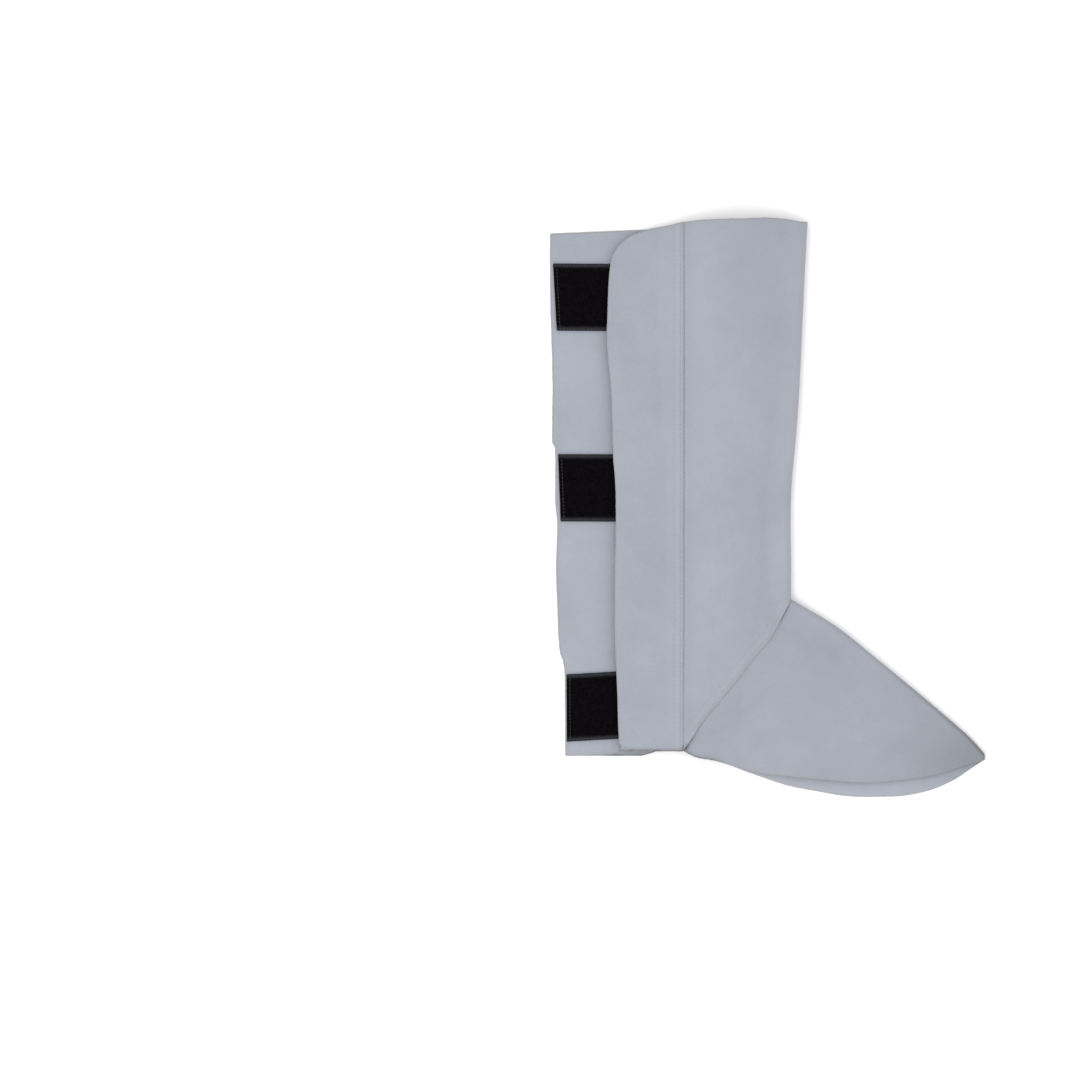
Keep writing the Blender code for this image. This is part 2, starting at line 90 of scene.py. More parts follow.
# Relief of the upper layers: waves, the knee band and the groove beside the shin welt
WAVES = 7
WAVE_HEIGHT = 0.0003
WAVE_SPREAD = (0.7, 1.5)
BROAD_WAVE = 0.060
FINE_WAVE = 0.019
FINE_WAVE_SHARE = 0.3
RELIEF_AT_TAPES = 0.3
RELIEF_REACH = 0.020
BAND_INSET = 0.0112
BAND_WIDTH = 0.0011
BAND_DEPTH = 0.00035
WELT_INSET = 0.0062
WELT_WIDTH = 0.0013
WELT_DEPTH = 0.00055
WELT_FADE = 0.16
WELT_AT_ANKLE = 0.35

# Laps and seams: how far their edges are thinned, and how close they are pressed together
LAP_SKIVE = 0.0017
LAP_SKIVE_WIDTH = 0.0026
SEAM_SKIVE = 0.0014
LAP_TOUCH = 0.0001

# Spat: a shallow fold in it, as a line of the plan, and its sole edge, pressed down by a share of
# the room below it
SPAT_FOLD = ((0.024, 0.018), (0.060, 0.048), (0.106, 0.083))
SPAT_FOLD_DEPTH = 0.0012
SPAT_FOLD_WIDTH = 0.0055
SOLE_PRESS = 0.45
SOLE_PRESS_REACH = 0.022
SOLE_PRESS_RUN = 0.25

# Leather tints: cut edge, painted highlight and shadow beside the lapped seam, painted shade at toe, knee
# and hem
RIM_TINT = 0.6
# Painted highlight on the flap beside the lapped seam, and painted shadow on the front panel beside its step
LAP_LIGHT_AND_SHADE = 0.16
LAP_LIGHT_AND_SHADE_WIDTH = 0.0030
LAP_LIGHT_AND_SHADE_INSET = 0.0035
# Painted shade towards the toe and the knee, where the surface turns away from the light
TOE_PAINTED_SHADE_REACH = 0.060
KNEE_PAINTED_SHADE = 0.25
KNEE_PAINTED_SHADE_REACH = 0.05
# Painted shade along the hem, where the lower layers lie in shadow under the upper ones
HEM_SHADE_MIDDLE = -0.018
HEM_SHADE_REACH = 0.046
HEM_SHADE_ENDS = 8
HEM_SHADE_TOP = 0.004
HEM_SHADE_LEAST = 0.45
HEM_SHADE_INWARD = 0.5
HEM_SHADE_DEPTH = 0.0018
# Painted shadow under the spat's raised edge near the toe, and painted shade on its turned rim there
TOE_SHADE = 0.14
TOE_SHADE_REACH = 0.028
TOE_RIM_SHADE = 0.7
TOE_RIM_SHADE_REACH = 0.080

# Seeds of the random draws
BROAD_SEED = 3
FINE_SEED = 4
LEATHER_SEEDS = {"flap": 11, "front": 12, "inner": 13, "spat_outer": 14, "spat_inner": 15}
LOOP_SEED = 20
HOOK_SEED = 22
SEED_STEP = 4
FIBRE_SEED = 100
SHADE_SEED = 200

# Stitches
SEAM_STITCH = dict(pitch=0.0034, length=0.0027, radius=0.00024)
TAPE_STITCH = dict(pitch=0.0026, length=0.0020, radius=0.00022)
STITCH_SINK = 0.0004
STITCH_RISE = 0.1
STITCH_BOW = 4
STITCH_TIP = 0.6
STITCH_RINGS = 6
STITCH_SIDES = 6
STITCH_INSET = 0.0028
STITCH_ROW_GAP = 0.0045

# Tapes
TAPE_COLUMNS = 75
TAPE_ROWS = 51
SELVAGE = 0.0025
SELVAGE_SLOPE = 0.0008
PILE_RISE = 0.0005
GROUND_ROUGH = 0.00006
PILE_LOOPS = 3000
PILE_LOOP_HEIGHT = 0.0009
PILE_LOOP_WIDTH = 0.0011
PILE_LOOP_SIZES = (0.6, 1.25)
PILE_THREAD = 0.00011
PILE_STEPS = 6
PILE_SIDES = 3
PILE_LEAN = 0.0003
TAPE_RIM = 0.0001
HOOK_STEPS = 3

# Colours, linear, and how far each piece is paler or darker than the rest
LEATHER_DARK = (0.312, 0.330, 0.379)
LEATHER_LIGHT = (0.348, 0.367, 0.420)
LEATHER_EDGE = (0.290, 0.292, 0.290)
# Colour of the painted shade at the hem and the toe
PAINTED_SHADE_COLOR = (0.110, 0.108, 0.108)
# Tint for the painted shade towards the toe and the knee and beside the lapped seam
PAINTED_SHADE_TINT = (0.80, 0.80, 0.79)
# Tone of each piece; the spat's halves carry painted light: inner half paler against the shade under the
# outer half, outer half darker as painted shade
LEATHER_TONES_AND_PAINTED_LIGHT = {"flap": 1.0, "front": 0.975, "inner": 1.0, "spat_outer": 0.925, "spat_inner": 1.13}
BLOTCH_TINT = (0.955, 0.955, 0.96)
NAP_TINT = (0.93, 0.93, 0.935)
# Seam thread, paler than the leather as painted light against the shade in its stitch grooves
THREAD_COLOR_WITH_PAINTED_LIGHT = (0.37, 0.39, 0.44)
THREAD_SHADE = 0.8
PILE_DARK = (0.0028, 0.0023, 0.0028)
PILE_LIGHT = (0.0064, 0.0053, 0.0067)
SELVAGE_DARK = (0.0145, 0.0160, 0.0185)
SELVAGE_LIGHT = (0.030, 0.032, 0.038)
HOOK_DARK = (0.008, 0.008, 0.009)
HOOK_LIGHT = (0.030, 0.030, 0.032)
TAPE_THREAD_COLOR = (0.048, 0.050, 0.053)
FLOOR_COLOR = (0.96, 0.96, 0.96)
WHITE = (1.0, 1.0, 1.0)

# Stage
FLOOR_SIZE = 8.0
WORLD_STRENGTH = 1.12
KEY_SIZE = 2.4
KEY_PLACE = (-2.2, -1.4, 3.7)
KEY_POWER = 60.0

# Leather and seams
LEATHER = 0.0018
GAP = 0.0004
BACK_LAP = 0.012
SPAT_LAP = 0.009
SEAM_HOLLOW_HEIGHT = 0.0016
SEAM_HOLLOW_WIDTH = 0.002

# Plan of the shaft
SHAFT_HEIGHT = 0.396
FRONT_WIDTH = 0.0925
FLAP_WIDTH = 0.0563
INNER_WIDTH = 0.0992
ANKLE_HEIGHT = 0.113
KNEE_CORNER_DROP = 0.0465
INNER_KNEE_DROP = 0.0105
INNER_HEM_DROP = 0.0038
INNER_HEM_STEP = 0.030
INNER_HEM_RISE = 0.0114

# Plan of the spat
SPAT_REACH = 0.1444
SPAT_DROP = 0.1175
OUTER_SOLE_DEPTH = 0.0206
INNER_SOLE_DEPTH = 0.0323
TOE_BLUNT = 0.005

# Height of the upper layer
CROWN = 0.018
CROWN_POWER = 1.4
VALLEY_DEPTH = 0.0024
VALLEY_INSET = 0.017
VALLEY_WIDTH = 0.0065
SOLE_DROOP = 0.6
SOLE_DROOP_REACH = 0.035
SOLE_DROOP_FULL_AT = 0.25
HOLLOW_DEPTH = 0.004
HOLLOW_PLACE = 0.62
HOLLOW_INSET = 0.014
HOLLOW_LENGTH = 0.026
HOLLOW_WIDTH = 0.011
RIDGE_HEIGHT = 0.0012
RIDGE_INSET = 0.0045
RIDGE_WIDTH = 0.003
LAP_TAPER = 0.012
LAP_START = 0.016
LAP_SETTLE = 0.018

# Hook and loop tapes
TAPE_WIDTH = 0.050
LOOP_LENGTH = 0.073
LOOP_THICK = 0.002
HOOK_END_GAP = 0.0005
HOOK_WIDTH = 0.048
HOOK_THICK = 0.0015
HOOK_INSET = 0.002
TAPE_EDGE_INSET = 0.0026

# Meshes
ROWS = 200
SPAT_ROWS = 96
FLAP_COLUMNS = 30
FRONT_COLUMNS = 60
INNER_COLUMNS = 60
SPAT_COLUMNS = 64
TURN_STEPS = 9
CURVE_STEPS = 12
NEAREST_STEPS = 420
LAP_STEPS = 60
LAP_FIRST_RUN = 4
ANKLE_RUN_SHARE = 0.08
SLOPE_STEP = 0.001

# Shin edge: height as a share of SHAFT_HEIGHT, width from the lapped seam as a share of FRONT_WIDTH.
# Its foot is the ankle, at ANKLE_HEIGHT.
ANKLE_WIDTH_SHARE = 0.866
SHIN = [
    dict(height=0.358, width=0.867),
    dict(height=0.425, width=0.863),
    dict(height=0.470, width=0.866),
    dict(height=0.515, width=0.876),
    dict(height=0.610, width=0.914),
    dict(height=0.723, width=0.943),
    dict(height=0.883, width=0.974),
    dict(height=0.994, width=1.000),
]

# Back edge of the flap: width as a share of FLAP_WIDTH.
FLAP_BACK = [
    dict(height=0.000, width=0.849),
    dict(height=0.110, width=0.873),
    dict(height=0.200, width=0.900),
    dict(height=0.300, width=0.907),
    dict(height=0.470, width=0.893),
    dict(height=0.560, width=0.928),
    dict(height=0.680, width=0.958),
    dict(height=0.740, width=0.998),
    dict(height=0.790, width=1.010),
]

# Knee corner of the flap: width as a share of FLAP_WIDTH, drop as a share of KNEE_CORNER_DROP.
FLAP_TOP = [
    dict(width=0.000, drop=0.06),
    dict(width=0.213, drop=0.11),
    dict(width=0.440, drop=0.16),
    dict(width=0.613, drop=0.23),
    dict(width=0.747, drop=0.31),
    dict(width=0.867, drop=0.44),
]
FLAP_CORNER = [
    dict(width=0.933, drop=0.58),
    dict(width=0.965, drop=0.75),
    dict(width=0.987, drop=1.00),
]

# Back edge of the inner panel: width as a share of INNER_WIDTH.
INNER_BACK = [
    dict(height=0.000, width=0.885),
    dict(height=0.150, width=0.892),
    dict(height=0.190, width=0.928),
    dict(height=0.277, width=0.946),
    dict(height=0.340, width=0.954),
    dict(height=0.425, width=0.946),
    dict(height=0.470, width=0.960),
    dict(height=0.567, width=0.961),
    dict(height=0.585, width=0.983),
    dict(height=0.690, width=0.981),
    dict(height=0.794, width=0.991),
    dict(height=0.850, width=0.998),
    dict(height=0.920, width=1.000),
]

# Knee edge of the front panel: width as a share of FRONT_WIDTH, drop as a share of KNEE_CORNER_DROP.
FRONT_TOP = [
    dict(width=0.130, drop=0.040),
    dict(width=0.500, drop=0.030),
    dict(width=0.660, drop=0.005),
    dict(width=0.840, drop=0.015),
]

# Slanted seam between shaft and spat, from the ankle to the foot of the lapped seam.
SEAM = [
    dict(across=0.000, down=0.000),
    dict(across=0.100, down=0.128),
    dict(across=0.200, down=0.256),
    dict(across=0.345, down=0.370),
    dict(across=0.530, down=0.545),
    dict(across=0.685, down=0.680),
    dict(across=0.810, down=0.790),
    dict(across=0.905, down=0.895),
    dict(across=1.000, down=1.000),
]

# Instep edge of the spat, from the ankle to the toe, as shares of SPAT_REACH and SPAT_DROP.
INSTEP = [
    dict(reach=0.000, drop=0.000),
    dict(reach=0.234, drop=0.172),
    dict(reach=0.431, drop=0.365),
    dict(reach=0.606, drop=0.541),
    dict(reach=0.779, drop=0.720),
    dict(reach=0.918, drop=0.870),
]

# Lower edges of the spat: place between the lapped seam and the toe, depth as a share of
# OUTER_SOLE_DEPTH and INNER_SOLE_DEPTH.
SOLE = [
    dict(place=0.04, outer=0.21, inner=0.13),
    dict(place=0.11, outer=0.33, inner=0.21),
    dict(place=0.22, outer=0.67, inner=0.48),
    dict(place=0.34, outer=0.82, inner=0.74),
    dict(place=0.44, outer=0.90, inner=0.87),
    dict(place=0.54, outer=0.99, inner=0.97),
    dict(place=0.63, outer=1.00, inner=0.98),
    dict(place=0.73, outer=0.88, inner=0.94),
    dict(place=0.82, outer=0.72, inner=0.80),
    dict(place=0.90, outer=0.46, inner=0.55),
    dict(place=0.95, outer=0.26, inner=0.31),
]

# Form along the front: station 0 is the knee, 1 the ankle and 2 the toe. Crown is a share of CROWN,
# layers is how much of the spat's lap the front seam still holds, hollow is a share of the seam's
# hollow and valley a share of VALLEY_DEPTH.
FORM = [
    dict(station=0.00, crown=0.84, layers=1.0, hollow=1.0, valley=0.5),
    dict(station=0.35, crown=1.00, layers=1.0, hollow=1.0, valley=0.5),
    dict(station=0.72, crown=0.94, layers=1.0, hollow=1.0, valley=1.0),
    dict(station=1.00, crown=0.85, layers=1.0, hollow=1.0, valley=0.4),
    dict(station=1.40, crown=0.72, layers=0.6, hollow=0.9, valley=0.0),
    dict(station=1.75, crown=0.42, layers=0.2, hollow=0.7, valley=0.0),
    dict(station=2.00, crown=0.05, layers=0.0, hollow=0.5, valley=0.0),
]

# Tapes: height of the middle as a share of SHAFT_HEIGHT, inset of the loop tape from the back edge as
# a share of TAPE_EDGE_INSET, tilt of its long edges and lean of its ends in degrees.
TAPES = [
    dict(name="knee", height=0.854, inset=1.0, tilt=-0.3, lean=3.2),
    dict(name="calf", height=0.495, inset=0.6, tilt=-0.3, lean=2.2),
    dict(name="ankle", height=0.080, inset=0.35, tilt=3.2, lean=0.3),
]

LAYER = LEATHER + GAP
HOOK_LENGTH = FLAP_WIDTH * FLAP_BACK[0]["width"] - HOOK_INSET - BACK_LAP - HOOK_END_GAP
ANKLE = np.array([FRONT_WIDTH * ANKLE_WIDTH_SHARE, ANKLE_HEIGHT])
TOE = ANKLE + np.array([SPAT_REACH, -SPAT_DROP])
LAP_FOOT = np.zeros(2)
SHAFT_TURN = LEATHER + LAYER + SEAM_HOLLOW_WIDTH
SPAT_TURN = LEATHER + SEAM_HOLLOW_WIDTH
FLAP_BOTTOM = LEATHER + GAP + LOOP_THICK + GAP + HOOK_THICK + GAP
CLOSED_LEVEL = FLAP_BOTTOM + LEATHER - LAYER
CLOSED_WIDTH = HOOK_INSET + HOOK_LENGTH + HOOK_INSET


def column(rows, name):
    return np.array([row[name] for row in rows], float)


def ease(x):
    x = np.clip(x, 0.0, 1.0)
    return x * x * (3.0 - 2.0 * x)


def bell(distance, reach, middle=0.0):
    return np.exp(-(((distance - middle) / reach) ** 2))


def unit(vectors):
    return vectors / np.linalg.norm(vectors, axis=-1, keepdims=True)


def smooth_line(points):
    """A smooth line through the points, by Catmull-Rom, as many short steps."""
    points = np.array(points, float)
    ends = [2 * points[0] - points[1], *points, 2 * points[-1] - points[-2]]
    steps = np.linspace(0.0, 1.0, CURVE_STEPS, endpoint=False)[:, None]
    line = []
    for before, start, end, after in zip(ends, ends[1:], ends[2:], ends[3:]):
        square = 2 * before - 5 * start + 4 * end - after
        cube = 3 * start - before - 3 * end + after
        line.append(0.5 * (2 * start + (end - before) * steps + square * steps**2 + cube * steps**3))
    return np.vstack([*line, points[-1:]])


def at(line, shares):
    """Points of the line at shares of its length."""
    lengths = np.concatenate([[0.0], np.cumsum(np.linalg.norm(np.diff(line, axis=0), axis=1))])
    where = np.asarray(shares) * lengths[-1]
    return np.stack([np.interp(where, lengths, line[:, k]) for k in (0, 1)], axis=-1)


def nearest(x, y, line):
    """Distance from each point to the line, and the share of the line's length there."""
    shares = np.linspace(0.0, 1.0, NEAREST_STEPS)
    points = at(line, shares)
    far = np.hypot(x[..., None] - points[:, 0], y[..., None] - points[:, 1])
    return far.min(axis=-1), shares[far.argmin(axis=-1)]


def shin_line():
    rows = [ANKLE]
    for row in SHIN:
        rows.append((FRONT_WIDTH * row["width"], SHAFT_HEIGHT * row["height"]))
    return smooth_line(rows)


def instep_line():
    rows = [ANKLE + (SPAT_REACH * row["reach"], -SPAT_DROP * row["drop"]) for row in INSTEP]
    return smooth_line([*rows, TOE + (0.0, TOE_BLUNT / 2)])


def seam_line():
    reach = LAP_FOOT - ANKLE
    return smooth_line([ANKLE + reach * (row["across"], row["down"]) for row in SEAM])


def sole_line(side, depth, start):
    """Lower edge of one half of the spat, from its lap to the toe."""
    rows = [start]
    for row in SOLE:
        along = LAP_FOOT + (TOE - LAP_FOOT) * row["place"]
        rows.append(along + (0.0, -depth * row[side]))
    return smooth_line([*rows, TOE - (0.0, TOE_BLUNT / 2)])


def back_line(rows, width, top):
    """A back edge of the shaft from the hem up to the height given."""
    points = []
    for row in rows:
        points.append((-width * row["width"], SHAFT_HEIGHT * row["height"]))
    return smooth_line([*points, *top])


SHIN_LINE = shin_line()
INSTEP_LINE = instep_line()
SEAM_LINE = seam_line()


def flap_back_x(y):
    heights = SHAFT_HEIGHT * column(FLAP_BACK, "height")
    return np.interp(y, heights, -FLAP_WIDTH * column(FLAP_BACK, "width"))


def form(station, name):
    return np.interp(station, column(FORM, "station"), column(FORM, name))


def stations(x, y):
    """Distance to the front edge, and the station there."""
    to_shin, up = nearest(x, y, SHIN_LINE)
    to_instep, down = nearest(x, y, INSTEP_LINE)
    return np.minimum(to_shin, to_instep), np.where(to_shin < to_instep, 1.0 - up, 1.0 + down)


def seam_level(station):
    """Height of the plane in which the two sides meet at the front seam."""
    hollow = SEAM_HOLLOW_HEIGHT * form(station, "hollow")
    return LEATHER + form(station, "layers") * LAYER + hollow


def welt_level(station):
    """Top of the upper shaft layer where it turns down into the front seam."""
    hollow = SEAM_HOLLOW_HEIGHT * form(station, "hollow")
    return seam_level(station) + GAP / 2 + hollow + LEATHER + LAYER


def seam_taper(share):
    """0 at both ends of the slanted seam, where the pieces butt, and 1 where they lap."""
    length = np.linalg.norm(LAP_FOOT - ANKLE)
    from_ankle = (share * length - LAP_START) / LAP_TAPER
    return ease(from_ankle) * ease((1.0 - share) * length / LAP_TAPER - 1.0)


def foot_rise(share):
    """0 at the foot of the slanted seam and 1 before the pieces begin to lap."""
    length = np.linalg.norm(LAP_FOOT - ANKLE)
    return ease((1.0 - share) * length / LAP_TAPER)


def upper_level(x, y):
    """Outer height of the upper shaft layer, also where the spat carries it on."""
    to_front, station = stations(x, y)
    to_back = x - flap_back_x(y)
    open_width = np.maximum(to_back - CLOSED_WIDTH, 0.0) + np.maximum(to_front - SHAFT_TURN, 0.0)
    across = np.clip((to_back - CLOSED_WIDTH) / np.maximum(open_width, GAP), 0.0, 1.0)
    base = CLOSED_LEVEL + (welt_level(station) - CLOSED_LEVEL) * ease(across)
    dome = CROWN * form(station, "crown") * np.sin(math.pi * across) ** CROWN_POWER
    to_sole, place = nearest(x, y, sole_line("outer", OUTER_SOLE_DEPTH, LAP_FOOT))
    droop = SOLE_DROOP * ease(place / SOLE_DROOP_FULL_AT) * bell(to_sole, SOLE_DROOP_REACH)
    valley = VALLEY_DEPTH * form(station, "valley") * bell(to_front, VALLEY_WIDTH, VALLEY_INSET)
    run = unit(LAP_FOOT - ANKLE)
    middle = at(SEAM_LINE, HOLLOW_PLACE) + HOLLOW_INSET * np.array([-run[1], run[0]])
    along = ((x - middle[0]) * run[0] + (y - middle[1]) * run[1]) / HOLLOW_LENGTH
    beside = ((y - middle[1]) * run[0] - (x - middle[0]) * run[1]) / HOLLOW_WIDTH
    hollow = HOLLOW_DEPTH * np.exp(-(along**2) - beside**2)
    return base + dome * (1.0 - droop) - valley - hollow


def slope_factor(x, y):
    """How much further apart two levels are, measured upright, than the layers are thick."""
    dx = (upper_level(x + SLOPE_STEP, y) - upper_level(x - SLOPE_STEP, y)) / (2 * SLOPE_STEP)
    dy = (upper_level(x, y + SLOPE_STEP) - upper_level(x, y - SLOPE_STEP)) / (2 * SLOPE_STEP)
    return np.sqrt(1.0 + dx**2 + dy**2)


def patch(left, right, bottom, top, columns, rows):
    """Plan of a four-sided sheet, as rows of points from left to right and from bottom to top."""
    a = np.linspace(0.0, 1.0, columns + 1)
    t = np.linspace(0.0, 1.0, rows + 1)
    left, right = at(left, t)[:, None], at(right, t)[:, None]
    bottom, top = at(bottom, a)[None], at(top, a)[None]
    a, t = a[None, :, None], t[:, None, None]
    corners = (1 - t) * ((1 - a) * bottom[:, :1] + a * bottom[:, -1:])
    corners = corners + t * ((1 - a) * top[:, :1] + a * top[:, -1:])
    return (1 - a) * left + a * right + (1 - t) * bottom + t * top - corners


def inner_edge(edge, run_start, run_end, turn):
    """The line where a sheet begins to turn towards its front edge, and the way in from the edge."""
    share = np.linspace(0.0, 1.0, len(edge))[:, None]
    way = unit(unit(run_start) * (1 - share) + unit(run_end) * share)
    along = unit(np.gradient(edge, axis=0))
    slant = np.abs(way[:, 0] * along[:, 1] - way[:, 1] * along[:, 0])
    return edge + way * (turn / slant)[:, None], way * (turn / slant)[:, None]


def waves(x, y, wavelength, seed):
    """Gentle seeded undulation between about -1 and 1, the same for every layer at a place."""
    draw = np.random.default_rng(seed)
    total = np.zeros_like(x)
    for _ in range(WAVES):
        heading, phase = draw.uniform(0, 2 * math.pi, 2)
        pace = 2 * math.pi / (wavelength * draw.uniform(*WAVE_SPREAD))
        total += np.sin((x * math.cos(heading) + y * math.sin(heading)) * pace + phase)
    return total / math.sqrt(WAVES)


def relief(x, y):
    """Slack waves of the upper layers, calmer where the tapes hold the flap down."""
    from_tapes = x - flap_back_x(y) - CLOSED_WIDTH
    loose = RELIEF_AT_TAPES + (1 - RELIEF_AT_TAPES) * ease(from_tapes / RELIEF_REACH)
    fine = FINE_WAVE_SHARE * waves(x, y, FINE_WAVE, FINE_SEED)
    return WAVE_HEIGHT * loose * (waves(x, y, BROAD_WAVE, BROAD_SEED) + fine)


def mesh_object(name, points, faces, material):
    """A smooth mesh object, drawn in the plan's frame, that rides on the guard."""
    data = bpy.data.meshes.new(name)
    data.from_pydata((np.asarray(points) + ORIGIN).tolist(), [], faces)
    data.update()
    data.shade_smooth()
    data.materials.append(material)
    obj = bpy.data.objects.new(name, data)
    bpy.context.scene.collection.objects.link(obj)
    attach(obj, "root")
    return obj


def set_attribute(obj, name, values):
    obj.data.attributes.new(name, "FLOAT", "POINT").data.foreach_set("value", values.astype(np.float32))


def grid_faces(rows, columns, first, flip):
    r, c = np.meshgrid(np.arange(rows - 1), np.arange(columns - 1), indexing="ij")
    corner = (first + r * columns + c).ravel()
    faces = np.stack([corner, corner + 1, corner + columns + 1, corner + columns], axis=1)
    return faces[:, ::-1] if flip else faces


def rim_places(rows, columns):
    """Rows and columns of the grid's points once round its rim, in order."""
    grid = np.arange(rows * columns).reshape(rows, columns)
    rim = np.concatenate([grid[0], grid[1:, -1], grid[-1, -2::-1], grid[-2:0:-1, 0]])
    return np.unravel_index(rim, grid.shape)


def ragged(count, seed):
    """A seeded wander between about -1 and 1, partly smoothed over its neighbours."""
    wander = np.random.default_rng(seed).uniform(-1.0, 1.0, count)
    smooth = sum(np.roll(wander, k) for k in range(EDGE_RAGGED_RUN)) / math.sqrt(EDGE_RAGGED_RUN)
    return EDGE_RAGGED_SMOOTH * smooth + (1 - EDGE_RAGGED_SMOOTH) * wander


def sheet_object(name, outer, inner, up, seed, material, bulge, sewn):
    """A sheet between two grids of points, with a rounded and slightly ragged cut edge that is plain
    where it is sewn. Gives the object, its points and the way out from its rim."""
    rows, columns = outer.shape[:2]
    count = rows * columns
    r, c = rim_places(rows, columns)
    rim = r * columns + c
    middle = (outer + inner) / 2
    away = unit(middle[r, c] - middle[np.clip(r, 1, rows - 2), np.clip(c, 1, columns - 2)])
    size = np.where(sewn, SEAM_BULGE, bulge)
    wander = EDGE_RAGGED * (size / EDGE_BULGE) * ragged(len(rim), seed)
    points = [outer.reshape(-1, 3), inner.reshape(-1, 3)]
    rings = [rim]
    for k in range(1, EDGE_RINGS):
        share = k / EDGE_RINGS
        push = 4 * share * (1 - share) * size + np.where(sewn, 0.0, wander / 2)
        points.append(outer[r, c] * (1 - share) + inner[r, c] * share + away * push[:, None])
        rings.append(2 * count + (k - 1) * len(rim) + np.arange(len(rim)))
    rings.append(count + rim)
    faces = [grid_faces(rows, columns, 0, not up), grid_faces(rows, columns, count, up)]
    for first, second in zip(rings, rings[1:]):
        strip = np.stack([first, second, np.roll(second, -1), np.roll(first, -1)], axis=1)
        faces.append(strip if up else strip[:, ::-1])
    points = np.vstack(points)
    obj = mesh_object(name, points, np.vstack(faces).tolist(), material)
    return obj, points, away


def toe_distance(points):
    return np.hypot(points[:, 0] - TOE[0], points[:, 1] - TOE[1])


def tint_edge(obj, count, rim, sewn):
    """The cut edge has the colour of the leather's core, but not where it is sewn."""
    tint = np.zeros(len(obj.data.vertices))
    tint[2 * count:] = np.tile(np.where(sewn, 0.0, 1.0), EDGE_RINGS - 1)
    tint[rim] = tint[count + rim] = np.where(sewn, 0.0, RIM_TINT)
    set_attribute(obj, "cut_edge", tint)


def paint_hem_and_toe_shade(obj, piece, points, middle, rim):
    """Painted shade along the hem, where the lower layers lie in shadow under the upper ones, and towards
    the toe on the pieces of the front seam, under the spat's raised edge and on its turned rim.
    """
    rows, columns = middle.shape[:2]
    count = rows * columns
    hem = np.exp(-(((points[:, 0] - HEM_SHADE_MIDDLE) / HEM_SHADE_REACH) ** HEM_SHADE_ENDS)) * (points[:, 1] < HEM_SHADE_TOP)
    patchy = np.random.default_rng(LEATHER_SEEDS[piece] + SHADE_SEED).uniform(HEM_SHADE_LEAST, 1.0, len(rim))
    plan = middle[..., :2]
    from_rim = np.minimum(
        np.linalg.norm(plan - plan[:1], axis=2), np.linalg.norm(plan - plan[:, :1], axis=2)
    )
    inward = HEM_SHADE_INWARD * bell(from_rim.ravel(), HEM_SHADE_DEPTH)
    painted_shade = hem * np.concatenate([inward, inward, *[patchy] * (EDGE_RINGS - 1)])
    painted_shade[rim] = painted_shade[count + rim] = hem[rim] * patchy
    if piece != "flap":
        to_toe = toe_distance(points)
        turned = ease((np.arange(columns) - (columns - 1 - TURN_STEPS)) / (TURN_STEPS / 2))
        turned = np.tile(turned, 2 * rows) * np.exp(-to_toe[:2 * count] / TOE_RIM_SHADE_REACH)
        painted_shade[:2 * count] = np.maximum(painted_shade[:2 * count], TOE_RIM_SHADE * turned)
        painted_shade = np.maximum(painted_shade, TOE_SHADE * bell(to_toe, TOE_SHADE_REACH))
    set_attribute(obj, "painted_shade", painted_shade)


def paint_light_and_shade(obj, piece, points):
    """Painted shade towards the toe and the knee, where the surface turns away from the light, and the faint
    bands on both sides of the lapped seam: a painted highlight along the flap's edge and a painted shadow on
    the front panel beside its step.
    """
    painted_light_and_shade = bell(toe_distance(points), TOE_PAINTED_SHADE_REACH)
    painted_light_and_shade += KNEE_PAINTED_SHADE * np.exp(-(SHAFT_HEIGHT - points[:, 1]) / KNEE_PAINTED_SHADE_REACH)
    beside_lap = LAP_LIGHT_AND_SHADE * bell(np.abs(points[:, 0]), LAP_LIGHT_AND_SHADE_WIDTH, LAP_LIGHT_AND_SHADE_INSET)
    # The flap is darkened except next to the seam, which leaves a painted highlight there; the front panel
    # gets a painted shadow beside the step.
    if piece == "flap":
        painted_light_and_shade += LAP_LIGHT_AND_SHADE - beside_lap
    if piece == "front":
        painted_light_and_shade += beside_lap
    set_attribute(obj, "painted_light_and_shade", np.minimum(painted_light_and_shade, 1.0))


def add_leather(piece, node, outer, inner, up):
    """A leather piece with its tints and fibres, standing in for a node of the model, which it hides. Its
    last column is sewn into the front seam or on the lap."""
    material = leather_material(piece)
    name, seed = piece + "_leather", LEATHER_SEEDS[piece]
    rows, columns = outer.shape[:2]
    r, c = rim_places(rows, columns)
    rim = r * columns + c
    sewn = c == columns - 1
    obj, points, away = sheet_object(name, outer, inner, up, seed, material, EDGE_BULGE, sewn)
    tint_edge(obj, rows * columns, rim, sewn)
    paint_hem_and_toe_shade(obj, piece, points, (outer + inner) / 2, rim)
    paint_light_and_shade(obj, piece, points)
    free = ~sewn & ~np.roll(sewn, 1) & ~np.roll(sewn, -1)
    add_fibres(name + "_fibres", outer[r, c], inner[r, c], away, free, seed, material)
    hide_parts(node)


